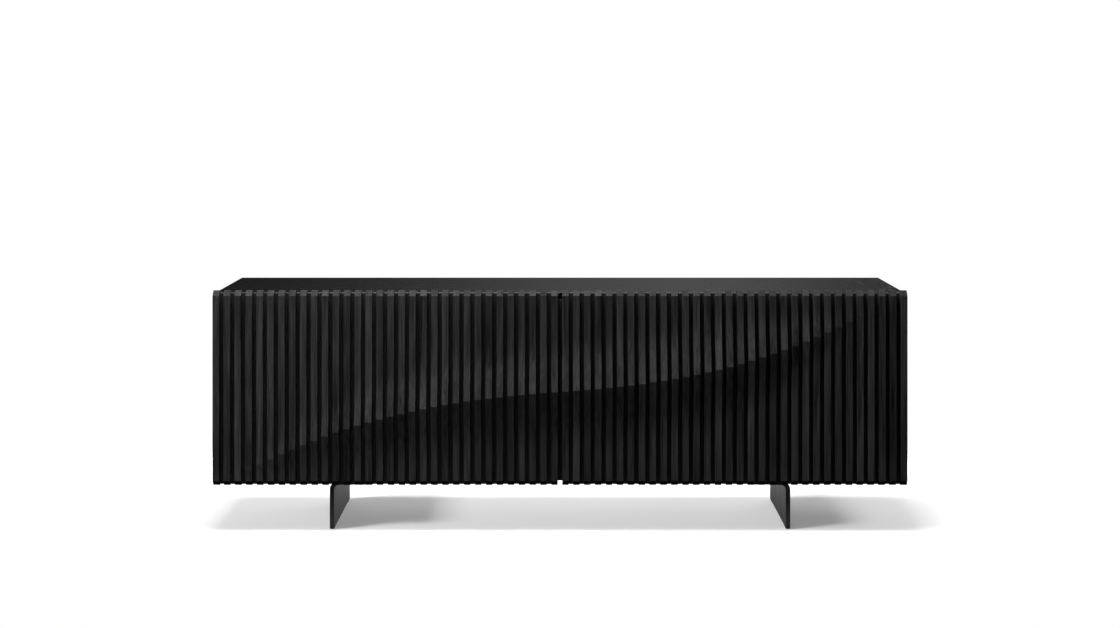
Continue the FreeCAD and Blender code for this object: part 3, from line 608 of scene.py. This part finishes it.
def welded_copy(node, name):
    """Copy of a CAD node's mesh with its loose triangles welded and its flat faces joined."""
    mesh = bpy.data.meshes.new(name)
    shape = bmesh.new()
    shape.from_mesh(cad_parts[node].data)
    bmesh.ops.remove_doubles(shape, verts=shape.verts, dist=WELD)
    bmesh.ops.dissolve_limit(
        shape, angle_limit=FLAT_TURN, use_dissolve_boundaries=False,
        verts=shape.verts, edges=shape.edges, delimit=set())
    for face in shape.faces:
        face.smooth = True
    shape.to_mesh(mesh)
    shape.free()
    if "sharp_edge" in mesh.attributes:
        mesh.attributes.remove(mesh.attributes["sharp_edge"])
    return new_object(name, mesh)


def weigh_edges(item, chosen):
    """Mark for bevelling the edges that turn sharply and that the test picks."""
    shape = bmesh.new()
    shape.from_mesh(item.data)
    weights = shape.edges.layers.float.new("bevel_weight_edge")
    for edge in shape.edges:
        if len(edge.link_faces) != 2:
            continue
        angle = edge.calc_face_angle(0.0)
        edge.smooth = angle < SHARP_TURN
        if angle > ARRIS_TURN and chosen(edge):
            edge[weights] = 1.0
    shape.to_mesh(item.data)
    shape.free()


def board_arris(edge):
    """True for the arrises of a board, and not for the rims of its bores."""
    return edge.calc_length() > BOARD_ARRIS


def fitting_arris(edge):
    """True for the longer arrises of a hinge part."""
    return edge.calc_length() > FITTING_ARRIS


def eased_piece(node, width, body, slot_name, chosen=board_arris, material_name=None, segments=2):
    """Piece that stands for a CAD node, with its arrises slightly rounded."""
    item = welded_copy(node, node + "_eased")
    weigh_edges(item, chosen)
    add_bevel(item, width, segments=segments)
    bake_modifiers(item)
    set_finish(item, slot_name, material_name)
    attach(item, body)
    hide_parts(node)


def paint_node(node, material_name):
    """Give a CAD node its material."""
    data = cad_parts[node].data
    data.materials.clear()
    data.materials.append(finish(material_name))


def close_tree(sheet, shape, entry, turn):
    """End a geometry tree in real faces with their material, sharp where they turn by more than turn."""
    smooth = sheet.add("GeometryNodeSetShadeSmooth", {"Geometry": shape, "Shade Smooth": True},
                       domain="FACE")
    angle = sheet.add("GeometryNodeInputMeshEdgeAngle")
    crease = Term(sheet, angle.outputs["Unsigned Angle"]) > turn
    sharp = sheet.add("GeometryNodeSetShadeSmooth",
                      {"Geometry": smooth.outputs[0], "Shade Smooth": False, "Selection": crease},
                      domain="EDGE")
    real = sheet.add("GeometryNodeRealizeInstances", {"Geometry": sharp.outputs[0]})
    painted = sheet.add("GeometryNodeSetMaterial",
                        {"Geometry": real.outputs[0], "Material": entry.outputs["Material"]})
    sheet.feed(sheet.add("NodeGroupOutput").inputs["Mesh"], painted.outputs[0])
    return sheet.tree


# ---- slats
SLAT_SEEDS = {"left": 11, "right": 23}
CREST_TURN = math.radians(11.0)  # a crest is shaded sharp, and the curves beside it are not
CROWDING = 1.8  # above 1, rows of faces crowd towards the crest
ROW_MARGIN = 0.004  # least height left for the rows on one side of a crest
CARVING = (
    "bevel", "depth", "wave_middle", "wave_climb", "wave_sweep", "wave_power", "crest", "crest_peak",
    "crest_low", "crest_high", "least_crest", "slope_power", "upper_ramp", "upper_blend", "lower_ramp",
    "lower_blend",
)


def slat_tree(numbers):
    """Slats in a row, each carved to the crest height and crest level of its place.

    numbers holds the name and default of each number that the tree takes.
    """
    sheet = new_tree("Carved Slats", "GeometryNodeTree")
    sheet.socket("Slats", "Int", 32)
    sheet.socket("Rows", "Int", 16)
    sheet.socket("Seed", "Int", 4)
    for name, default in numbers.items():
        sheet.socket(name, "Float", default)
    sheet.socket("Material", "Material")
    sheet.socket("Mesh", "Geometry", out=True)
    entry = sheet.add("NodeGroupInput")
    term = {name: Term(sheet, entry.outputs[name]) for name in numbers}
    rows = Term(sheet, entry.outputs["Rows"])

    blank = sheet.add("GeometryNodeMeshCube",
                      {"Size": sheet.xyz(X=term["Width"], Y=1.0, Z=1.0), "Vertices X": 2,
                       "Vertices Y": 2, "Vertices Z": rows * 2.0 + 3.0})
    line = sheet.add("GeometryNodeMeshLine",
                     {"Count": entry.outputs["Slats"], "Start Location": sheet.xyz(X=term["First Centre"]),
                      "Offset": sheet.xyz(X=term["Pitch"])})
    placed = sheet.add("GeometryNodeInstanceOnPoints",
                       {"Points": line.outputs[0], "Instance": blank.outputs["Mesh"]})
    slat_x = sheet.parts(sheet.add("GeometryNodeInputPosition").outputs[0])[0]
    centred = sheet.add("GeometryNodeStoreNamedAttribute",
                        {"Geometry": placed.outputs[0], "Name": "slat_centre", "Value": slat_x},
                        data_type="FLOAT", domain="INSTANCE")
    dice = sheet.add("FunctionNodeRandomValue", {"Seed": entry.outputs["Seed"]}, data_type="FLOAT")
    toned = sheet.add("GeometryNodeStoreNamedAttribute",
                      {"Geometry": centred.outputs[0], "Name": "slat_tone", "Value": dice.outputs[1]},
                      data_type="FLOAT", domain="INSTANCE")
    real = sheet.add("GeometryNodeRealizeInstances", {"Geometry": toned.outputs[0]})

    stored = sheet.add("GeometryNodeInputNamedAttribute", {"Name": "slat_centre"}, data_type="FLOAT")
    centre = Term(sheet, stored.outputs["Attribute"])
    across = centre / term["Half Width"]
    gather = across * abs(across) ** (term["Wave Power"] - 1.0)
    level = term["Wave Middle"] + term["Wave Climb"] * across + term["Wave Sweep"] * gather
    end = sheet.choose(level > term["Crest Peak"], term["Crest High"], term["Crest Low"])
    away = sheet.smallest((level - term["Crest Peak"]) / (end - term["Crest Peak"]), 1.0)
    full_rise = term["Crest"] * (1.0 + sheet.math("COSINE", away * math.pi)) * 0.5
    rise = full_rise * (full_rise > term["Least Crest"])
    scale = (rise / term["Crest"]) ** term["Slope Power"]

    x, y, z = sheet.parts(sheet.add("GeometryNodeInputPosition").outputs[0])
    row = sheet.math("ROUND", (z + 0.5) * (rows * 2.0 + 2.0))
    foot = term["Low"] + term["Bevel"]
    head = term["High"] - term["Bevel"]
    below = sheet.largest(1.0 - (row - 1.0) / rows, 0.0) ** CROWDING
    above = sheet.largest((row - 1.0 - rows) / rows, 0.0)
    above = sheet.smallest(above, 1.0) ** CROWDING
    turn_row = sheet.smallest(sheet.largest(level, foot + ROW_MARGIN), head - ROW_MARGIN)
    height = turn_row - (turn_row - foot) * sheet.smallest(below, 1.0) + (head - turn_row) * above
    at_low = row < 0.5
    at_high = row > (rows * 2.0 + 1.5)
    height = sheet.choose(at_low, term["Low"], sheet.choose(at_high, term["High"], height))

    upper = height > level
    ramp = sheet.choose(upper, term["Upper Ramp"], term["Lower Ramp"]) * scale
    blend = sheet.choose(upper, term["Upper Blend"], term["Lower Blend"]) * scale
    slope = rise / (ramp + blend * 0.5)
    reach = sheet.largest(ramp + blend - abs(height - level), 0.0)
    curved = sheet.smallest(reach, blend)
    swell = slope * (curved * curved / (blend * 2.0) + (reach - curved))
    set_back = (at_low + at_high) * term["Bevel"]
    face = term["Back"] - term["Depth"] - swell + set_back
    depth_wise = sheet.choose(y < 0.0, face, term["Back"])
    target = sheet.xyz(X=x, Y=depth_wise, Z=height)
    carved = sheet.add("GeometryNodeSetPosition", {"Geometry": real.outputs[0], "Position": target})
    return close_tree(sheet, carved.outputs[0], entry, CREST_TURN)


def add_geometry_nodes(item, tree, values):
    """Geometry Nodes modifier with its inputs set by identifier."""
    modifier = item.modifiers.new(tree.name, "NODES")
    modifier.node_group = tree
    identifiers = {
        entry.name: entry.identifier for entry in tree.interface.items_tree
        if entry.item_type == "SOCKET" and entry.in_out == "INPUT"}
    for name, value in values.items():
        modifier[identifiers[name]] = value


class SIDEBOARD_OT_slats(bpy.types.Operator):
    """Carve the slats of both doors"""

    bl_idname = "sideboard.slats"
    bl_label = "Slats"

    def execute(self, context):
        sizes = context.scene.sideboard_slats
        low, high = joined_box(slat_nodes("left") + slat_nodes("right"))
        numbers = {
            "Pitch": slat_pitch(),
            "Width": slat_width(),
            "First Centre": low.x + slat_width() / 2,
            "Back": high.y,
            "Low": low.z,
            "High": high.z,
            "Half Width": (high.x - low.x) / 2,
        }
        for name in CARVING:
            numbers[name.replace("_", " ").title()] = getattr(sizes, name)
        tree = slat_tree(numbers)
        for side in SIDES:
            door_low, door_high = joined_box(slat_nodes(side))
            item = new_object(side + "_slats", bpy.data.meshes.new(side + "_slats"))
            values = {
                **numbers,
                "Slats": SLAT_NODES * SLATS_PER_NODE,
                "Rows": sizes.rows,
                "Seed": SLAT_SEEDS[side],
                "First Centre": door_low.x + slat_width() / 2,
                "Back": door_high.y,
                "Material": finish("black_stained_oak"),
            }
            add_geometry_nodes(item, tree, values)
            add_bevel(item, sizes.ease, angle=SHARP_TURN)
            bake_modifiers(item)
            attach(item, side + "_door")
            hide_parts(*slat_nodes(side))
        return {"FINISHED"}


# ---- boards
class SIDEBOARD_OT_carcass(bpy.types.Operator):
    """Ease the edges of the carcass boards and shelves and give them their finish"""

    bl_idname = "sideboard.carcass"
    bl_label = "Carcass"

    def execute(self, context):
        ease = context.scene.sideboard_boards.board_ease
        eased_piece("top_panel", ease, "carcass", "black_satin_top", segments=3)
        for node in ("left_side_panel", "right_side_panel", "centre_partition"):
            eased_piece(node, ease, "carcass", "black_board")
        eased_piece("bottom_panel", ease, "carcass", "black_board", material_name="black_shelf_board")
        for side in SIDES:
            eased_piece(side + "_shelf", ease, "carcass", "black_board", material_name="black_shelf_board")
            paint_node(side + "_back_panel", "black_back_board")
        return {"FINISHED"}


class SIDEBOARD_OT_door_panels(bpy.types.Operator):
    """Ease the edges of the two door panels behind the slats"""

    bl_idname = "sideboard.door_panels"
    bl_label = "Door Panels"

    def execute(self, context):
        ease = context.scene.sideboard_boards.board_ease
        for side in SIDES:
            eased_piece(side + "_door_panel", ease, side + "_door", "black_board")
        return {"FINISHED"}


# ---- legs
AT_PLANE = 0.0001  # corners closer to a plane than this lie on it


class SIDEBOARD_OT_legs(bpy.types.Operator):
    """Round the edges of the bent leg plates and coat them"""

    bl_idname = "sideboard.legs"
    bl_label = "Legs"

    def execute(self, context):
        ease = context.scene.sideboard_boards.leg_ease
        for side in SIDES:
            node = side + "_leg"
            front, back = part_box(node)[0].y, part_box(node)[1].y

            def plate_edge(edge, front=front, back=back):
                """True for every edge of the front and back outline, curved ones too."""
                ends = [vertex.co.y for vertex in edge.verts]
                at_end = any(all(abs(y - plane) < AT_PLANE for y in ends) for plane in (front, back))
                return at_end or board_arris(edge)

            eased_piece(node, ease, "carcass", "graphite_steel", chosen=plate_edge, segments=3)
            paint_node(side + "_leg_glides", "black_plastic")
        return {"FINISHED"}


# ---- fittings
class SIDEBOARD_OT_hinges(bpy.types.Operator):
    """Finish the hinge cups, arms and mounting plates"""

    bl_idname = "sideboard.hinges"
    bl_label = "Hinges"

    def execute(self, context):
        ease = context.scene.sideboard_boards.metal_ease
        for side in SIDES:
            for hinge in HINGES:
                for part, body in (("hinge_arm", "carcass"), ("hinge_plate", "carcass"),
                                   ("hinge_cup", side + "_door")):
                    node = "%s_%s_%s" % (side, hinge, part)
                    eased_piece(node, ease, body, "nickel_steel", chosen=fitting_arris)
        return {"FINISHED"}


class SIDEBOARD_OT_latches(bpy.types.Operator):
    """Finish the push latches and their strike plates"""

    bl_idname = "sideboard.latches"
    bl_label = "Latches"

    def execute(self, context):
        ease = context.scene.sideboard_boards.metal_ease
        for side in SIDES:
            eased_piece(side + "_latch_housing", ease, "carcass", "black_plastic")
            eased_piece(side + "_strike_plate", ease, side + "_door", "nickel_steel")
            paint_node(side + "_latch_plunger", "nickel_steel")
        return {"FINISHED"}


def solid_boxes(node):
    """Lowest and highest corner of each separate solid of a CAD node."""
    shape = bmesh.new()
    shape.from_mesh(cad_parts[node].data)
    bmesh.ops.remove_doubles(shape, verts=shape.verts, dist=WELD)
    left = set(shape.verts)
    boxes = []
    for first in shape.verts:
        if first not in left:
            continue
        left.remove(first)
        island = [first]
        places = []
        while island:
            vertex = island.pop()
            places.append(vertex.co.copy())
            for edge in vertex.link_edges:
                other = edge.other_vert(vertex)
                if other in left:
                    left.remove(other)
                    island.append(other)
        low = Vector([min(place[axis] for place in places) for axis in range(3)])
        high = Vector([max(place[axis] for place in places) for axis in range(3)])
        boxes.append((low, high))
    shape.free()
    return boxes


class Screw(NamedTuple):
    """One kind of fastener. Its sizes are in metres, and kind is pan, flat or bolt."""

    head_radius: float
    head_height: float
    shank_radius: float
    outward: tuple
    kind: str = "pan"


# outward is the way a head faces on the right half of the sideboard. The left half mirrors it.
SCREWS = {
    "hinge_plate": Screw(0.004, 0.002, 0.0022, (-1.0, 0.0, 0.0)),
    "cup": Screw(0.0032, 0.0012, 0.00175, (0.0, 1.0, 0.0)),
    "leg": Screw(0.005, 0.005, 0.003, (0.0, 0.0, -1.0), "bolt"),
    "latch": Screw(0.0032, 0.0018, 0.00175, (1.0, 0.0, 0.0)),
    "back_panel": Screw(0.0035, 0.002, 0.00175, (0.0, 1.0, 0.0), "flat"),
}
SCREW_TURN = math.radians(32.0)  # edges of a screw that turn more than this are shaded sharp
BOLT_TOP = 0.92  # radius of a bolt head's top as a share of its base
SOCKET_DEPTH = 0.6  # depth of a bolt's socket as a share of its head


def screw_tree():
    """Screws on points: a head with a cross recess or hexagon socket, and a shank under it.

    Each point is the middle of a head's outer face, and carries the outward direction.
    """
    sheet = new_tree("Screws", "GeometryNodeTree")
    sheet.socket("Places", "Geometry")
    numbers = (
        ("Head Radius", 0.004), ("Head Height", 0.002), ("Top Radius", 0.003), ("Shank Radius", 0.002),
        ("Length", 0.015), ("Arm Width", 0.001), ("Recess Depth", 0.001), ("Recess Reach", 0.002),
    )
    for name, default in numbers:
        sheet.socket(name, "Float", default)
    sheet.socket("Hexagon", "Bool", False)
    sheet.socket("Material", "Material")
    sheet.socket("Mesh", "Geometry", out=True)
    entry = sheet.add("NodeGroupInput")
    term = {name: Term(sheet, entry.outputs[name]) for name, _ in numbers}

    head = sheet.add("GeometryNodeMeshCone",
                     {"Vertices": 28, "Radius Top": term["Top Radius"], "Radius Bottom": term["Head Radius"],
                      "Depth": term["Head Height"]})
    head_place = sheet.add("GeometryNodeTransform",
                           {"Geometry": head.outputs["Mesh"],
                            "Translation": sheet.xyz(Z=0.0 - term["Head Height"])})
    shank_length = term["Length"] - term["Head Height"] * 0.5
    shank = sheet.add("GeometryNodeMeshCylinder",
                      {"Vertices": 16, "Radius": term["Shank Radius"], "Depth": shank_length})
    shank_low = sheet.xyz(Z=0.0 - term["Head Height"] * 0.5 - shank_length * 0.5)
    shank_place = sheet.add("GeometryNodeTransform",
                            {"Geometry": shank.outputs["Mesh"], "Translation": shank_low})

    reach = term["Recess Reach"] * 2.0
    deep = term["Recess Depth"] * 2.0
    arms = []
    for across, along in ((reach, term["Arm Width"]), (term["Arm Width"], reach)):
        size = sheet.xyz(X=across, Y=along, Z=deep)
        arms.append(sheet.add("GeometryNodeMeshCube", {"Size": size}).outputs["Mesh"])
    cross = sheet.add("GeometryNodeMeshBoolean", operation="UNION", solver="EXACT")
    for arm in arms:
        sheet.tree.links.new(arm, cross.inputs["Mesh 2"])
    hexagon = sheet.add("GeometryNodeMeshCylinder",
                        {"Vertices": 6, "Radius": term["Recess Reach"], "Depth": deep})
    recess = sheet.add("GeometryNodeSwitch", input_type="GEOMETRY")
    sheet.feed(recess.inputs["Switch"], entry.outputs["Hexagon"])
    sheet.feed(recess.inputs["False"], cross.outputs["Mesh"])
    sheet.feed(recess.inputs["True"], hexagon.outputs["Mesh"])
    whole = sheet.add("GeometryNodeMeshBoolean", operation="UNION", solver="EXACT")
    for shape in (head_place, shank_place):
        sheet.tree.links.new(shape.outputs[0], whole.inputs["Mesh 2"])
    cut = sheet.add("GeometryNodeMeshBoolean", operation="DIFFERENCE", solver="EXACT")
    sheet.feed(cut.inputs["Mesh 1"], whole.outputs["Mesh"])
    sheet.tree.links.new(recess.outputs[0], cut.inputs["Mesh 2"])

    outward = sheet.add("GeometryNodeInputNamedAttribute", {"Name": "outward"}, data_type="FLOAT_VECTOR")
    turn = sheet.add("FunctionNodeAlignRotationToVector", {"Vector": outward.outputs["Attribute"]}, axis="Z")
    placed = sheet.add("GeometryNodeInstanceOnPoints",
                       {"Points": entry.outputs["Places"], "Instance": cut.outputs["Mesh"],
                        "Rotation": turn.outputs[0]})
    real = sheet.add("GeometryNodeRealizeInstances", {"Geometry": placed.outputs[0]})
    return close_tree(sheet, real.outputs[0], entry, SCREW_TURN)


def screw_places(name, boxes, outward):
    """Mesh of loose points on the screw heads, each with its outward direction."""
    points = []
    directions = []
    for low, high in boxes:
        direction = Vector(outward)
        if direction.x and low.x < 0.0:
            direction.x = -direction.x
        centre = (low + high) / 2
        half = (high - low) / 2
        points.append(centre + Vector([direction[axis] * half[axis] for axis in range(3)]))
        directions.append(direction)
    mesh = bpy.data.meshes.new(name)
    mesh.from_pydata(points, [], [])
    attribute = mesh.attributes.new("outward", "FLOAT_VECTOR", "POINT")
    attribute.data.foreach_set("vector", [number for direction in directions for number in direction])
    return mesh


def add_screws(tree, node, body, slot_name, screw):
    """Replace a CAD node of fasteners by detailed ones at the same places."""
    sizes = bpy.context.scene.sideboard_screws
    name = node + "_detailed"
    boxes = solid_boxes(node)
    item = new_object(name, screw_places(name, boxes, screw.outward))
    low, high = boxes[0]
    radius = screw.head_radius
    bottom, top = {
        "pan": (radius, radius * sizes.dome),
        "flat": (screw.shank_radius, radius),
        "bolt": (radius, radius * BOLT_TOP),
    }[screw.kind]
    is_bolt = screw.kind == "bolt"
    values = {
        "Head Radius": bottom,
        "Head Height": screw.head_height,
        "Top Radius": top,
        "Shank Radius": screw.shank_radius,
        "Length": max(high[axis] - low[axis] for axis in range(3)),
        "Arm Width": sizes.cross_arm,
        "Recess Depth": screw.head_height * SOCKET_DEPTH if is_bolt else sizes.cross_depth,
        "Recess Reach": radius * sizes.socket,
        "Hexagon": is_bolt,
        "Material": finish(slot_name),
    }
    add_geometry_nodes(item, tree, values)
    bake_modifiers(item)
    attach(item, body)
    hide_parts(node)


class SIDEBOARD_OT_screws(bpy.types.Operator):
    """Put detailed screws and bolts in the place of the plain ones"""

    bl_idname = "sideboard.screws"
    bl_label = "Screws"

    def execute(self, context):
        tree = screw_tree()
        for side in SIDES:
            add_screws(tree, side + "_hinge_plate_screws", "carcass", "nickel_steel", SCREWS["hinge_plate"])
            add_screws(tree, side + "_cup_screws", side + "_door", "nickel_steel", SCREWS["cup"])
            add_screws(tree, side + "_leg_bolts", "carcass", "black_bolt_steel", SCREWS["leg"])
        add_screws(tree, "latch_screws", "carcass", "nickel_steel", SCREWS["latch"])
        add_screws(tree, "back_panel_screws", "carcass", "nickel_steel", SCREWS["back_panel"])
        return {"FINISHED"}


class SIDEBOARD_OT_joinery(bpy.types.Operator):
    """Give the dowels, cams and shelf pins their materials"""

    bl_idname = "sideboard.joinery"
    bl_label = "Joinery"

    def execute(self, context):
        paint_node("carcass_dowels", "beech_dowel")
        paint_node("cam_bolts", "nickel_steel")
        paint_node("cam_discs", "zinc_cam")
        paint_node("shelf_pins", "nickel_steel")
        return {"FINISHED"}


# ---- stage
FLOOR_HALF = 4.0  # half the side of the floor
FLOOR_REACH = (1.9, 1.5)  # how far the floor shows along the sideboard and across it
FADE_START = 0.75  # share of that reach where the floor starts to fade out
FLOOR_MIRRORED = 0.07  # share of the floor's tone that mirror-like rays meet
FLOOR_BOUNCED = 0.10  # share of the floor's tone that all other rays meet
SENSOR_WIDTH = 36.0  # in millimetres


def floor_material(stage):
    """Pale floor that ends softly, and that throws little light back on the black wood."""
    material = bpy.data.materials.new("pale_floor")
    material.use_nodes = True
    sheet = Sheet(material.node_tree)
    nodes = material.node_tree.nodes
    nodes.remove(nodes["Principled BSDF"])
    rays = sheet.add("ShaderNodeLightPath")
    seen = Term(sheet, rays.outputs["Is Camera Ray"])
    unseen = sheet.mix_colour(
        rays.outputs["Is Glossy Ray"], rgba(stage.floor, FLOOR_BOUNCED), rgba(stage.floor, FLOOR_MIRRORED))
    matt = sheet.add("ShaderNodeBsdfDiffuse", {"Color": sheet.mix_colour(seen, unseen, rgba(stage.floor))})
    lift = sheet.add("ShaderNodeEmission", {"Strength": seen * stage.lift})
    lit = sheet.add("ShaderNodeAddShader", {0: matt.outputs[0], 1: lift.outputs[0]})
    clear = sheet.add("ShaderNodeBsdfTransparent")
    x, y, _ = sheet.parts(sheet.add("ShaderNodeTexCoord").outputs["Object"])
    along = x / FLOOR_REACH[0]
    deep = y / FLOOR_REACH[1]
    distance = sheet.math("SQRT", along * along + deep * deep)
    fade = sheet.map_range(distance, FADE_START, 1.0, smooth=True)
    mixed = sheet.add("ShaderNodeMixShader", {0: fade, 1: lit.outputs[0], 2: clear.outputs[0]})
    sheet.feed(nodes["Material Output"].inputs["Surface"], mixed.outputs[0])
    return material


def add_floor():
    """Flat floor under the sideboard."""
    shape = bmesh.new()
    bmesh.ops.create_grid(shape, x_segments=1, y_segments=1, size=FLOOR_HALF)
    mesh = bpy.data.meshes.new("floor")
    shape.to_mesh(mesh)
    shape.free()
    mesh.materials.append(floor_material(bpy.context.scene.sideboard_stage))
    floor = new_object("floor", mesh)
    return floor


# Middle and spread of the glow behind, on a sphere of radius 1.
GLOW_X, GLOW_Z = 0.077, 0.10
GLOW_LEFT, GLOW_RIGHT, GLOW_HEIGHT = 0.15, 0.09, 0.20


def add_world(stage):
    """White backdrop. What the wood mirrors is dimmer, with a soft glow behind on the right."""
    world = bpy.data.worlds.new("studio")
    bpy.context.scene.world = world
    world.use_nodes = True
    sheet = Sheet(world.node_tree)
    nodes = world.node_tree.nodes
    background = nodes["Background"]
    rays = sheet.add("ShaderNodeLightPath")
    x, y, z = sheet.parts(sheet.add("ShaderNodeTexCoord").outputs["Generated"])
    side = (x - GLOW_X) / sheet.choose(x > GLOW_X, GLOW_RIGHT, GLOW_LEFT)
    lift = (z - GLOW_Z) / GLOW_HEIGHT
    glow = sheet.math("EXPONENT", (side * side + lift * lift) * -1.0) * (y > 0.0)
    mirrored = 0.004 + 0.04 * sheet.largest(z, 0.0) + stage.glow * glow
    ambient = stage.ambient * (0.6 + 0.4 * z)
    room = sheet.choose(Term(sheet, rays.outputs["Is Glossy Ray"]), mirrored, ambient)
    strength = sheet.choose(Term(sheet, rays.outputs["Is Camera Ray"]), stage.backdrop, room)
    background.inputs["Color"].default_value = (1.0, 1.0, 1.0, 1.0)
    sheet.feed(background.inputs["Strength"], strength)


def add_light(name, place, target, size, power):
    """Rectangular soft light aimed at a target."""
    light = bpy.data.lights.new(name, "AREA")
    light.shape = "RECTANGLE"
    light.size, light.size_y = size
    light.energy = power
    item = bpy.data.objects.new(name, light)
    item.location = place
    item.rotation_mode = "QUATERNION"
    item.rotation_quaternion = (Vector(target) - Vector(place)).to_track_quat("-Z", "Y")
    item.visible_camera = False
    bpy.context.scene.collection.objects.link(item)
    return item


def only(name, items):
    """Collection for light linking that holds the given objects."""
    collection = bpy.data.collections.new(name)
    for item in items:
        collection.objects.link(item)
    return collection


def all_but(name, item):
    """Collection for light linking that leaves one object out."""
    collection = only(name, [item])
    collection.collection_objects[0].light_linking.link_state = "EXCLUDE"
    return collection


class SIDEBOARD_OT_stage(bpy.types.Operator):
    """Set up the floor, backdrop, lights and camera"""

    bl_idname = "sideboard.stage"
    bl_label = "Stage"

    def execute(self, context):
        stage = context.scene.sideboard_stage
        slats_back = joined_box(slat_nodes("left"))[1].y
        plain_face = slats_back - context.scene.sideboard_slats.depth
        top = CAD_BOX[1].z
        back = CAD_BOX[1].y
        floor = add_floor()
        add_world(stage)
        add_light("overhead", place=(-0.1, -0.3, 3.2), target=(-0.1, -0.3, 0.0), size=(2.0, 2.0),
                  power=stage.overhead)
        high_light = add_light("front", place=(-1.0, plain_face - 0.85, 3.2), target=(-0.3, 0.0, 0.3),
                               size=(2.2, 0.8), power=stage.front)
        side_light = add_light("left_side", place=(-4.4, plain_face - 2.1, 5.0),
                               target=(-0.3, 0.0, top / 2), size=(1.8, 1.8), power=stage.side)
        for light in (high_light, side_light):
            light.light_linking.receiver_collection = all_but(light.name + "_receivers", floor)
        low_light = add_light("leg_shade", place=(-9.6, plain_face - 4.4, 6.6), target=(0.0, 0.0, 0.0),
                              size=(3.4, 3.4), power=stage.leg_shade)
        legs = [bpy.data.objects[side + "_leg_eased"] for side in SIDES]
        low_light.light_linking.receiver_collection = only("floor_only", [floor])
        low_light.light_linking.blocker_collection = only("legs_only", legs)
        add_light("floor_bounce", place=(0.0, back + 0.8, 0.02), target=(0.0, back, 0.3),
                  size=(2.4, 0.6), power=stage.bounce)
        add_light("rear", place=(2.6, back + 3.2, 2.2), target=(0.0, back, top / 2), size=(1.6, 1.2),
                  power=stage.rear)
        lens = bpy.data.cameras.new("camera")
        lens.lens = stage.lens
        lens.sensor_width = SENSOR_WIDTH
        lens.sensor_fit = "HORIZONTAL"
        lens.shift_y = stage.fall
        camera = bpy.data.objects.new("camera", lens)
        camera.location = (0.0, plain_face - stage.distance, stage.eye)
        camera.rotation_euler = (math.radians(90.0), 0.0, 0.0)
        bpy.context.scene.collection.objects.link(camera)
        context.scene.camera = camera
        context.scene.view_settings.view_transform = "Standard"
        return {"FINISHED"}


# ---- panel and registration
OPERATORS = (
    SIDEBOARD_OT_slats,
    SIDEBOARD_OT_door_panels,
    SIDEBOARD_OT_carcass,
    SIDEBOARD_OT_legs,
    SIDEBOARD_OT_hinges,
    SIDEBOARD_OT_latches,
    SIDEBOARD_OT_screws,
    SIDEBOARD_OT_joinery,
    SIDEBOARD_OT_stage,
)


class SIDEBOARD_PT_panel(bpy.types.Panel):
    """Sizes, colours and the steps that make the sideboard"""

    bl_idname = "SIDEBOARD_PT_panel"
    bl_label = "Carved Slat Sideboard"
    bl_space_type = "VIEW_3D"
    bl_region_type = "UI"
    bl_category = "Sideboard"

    def draw(self, context):
        layout = self.layout
        for setting in SETTINGS:
            group = getattr(context.scene, setting)
            box = layout.box()
            for name in group.__annotations__:
                box.prop(group, name)
        for operator in OPERATORS:
            layout.operator(operator.bl_idname)


CLASSES = (*SETTINGS.values(), *OPERATORS, SIDEBOARD_PT_panel)


def register():
    """Register every class and hang the settings on the scene."""
    for item in CLASSES:
        bpy.utils.register_class(item)
    for name, group in SETTINGS.items():
        setattr(bpy.types.Scene, name, PointerProperty(type=group))


def unregister():
    """Undo register."""
    for name in SETTINGS:
        delattr(bpy.types.Scene, name)
    for item in reversed(CLASSES):
        bpy.utils.unregister_class(item)


def main():
    register()
    for operator in OPERATORS:
        getattr(bpy.ops.sideboard, operator.bl_idname.partition(".")[2])()


if __name__ == "__main__":
    main()
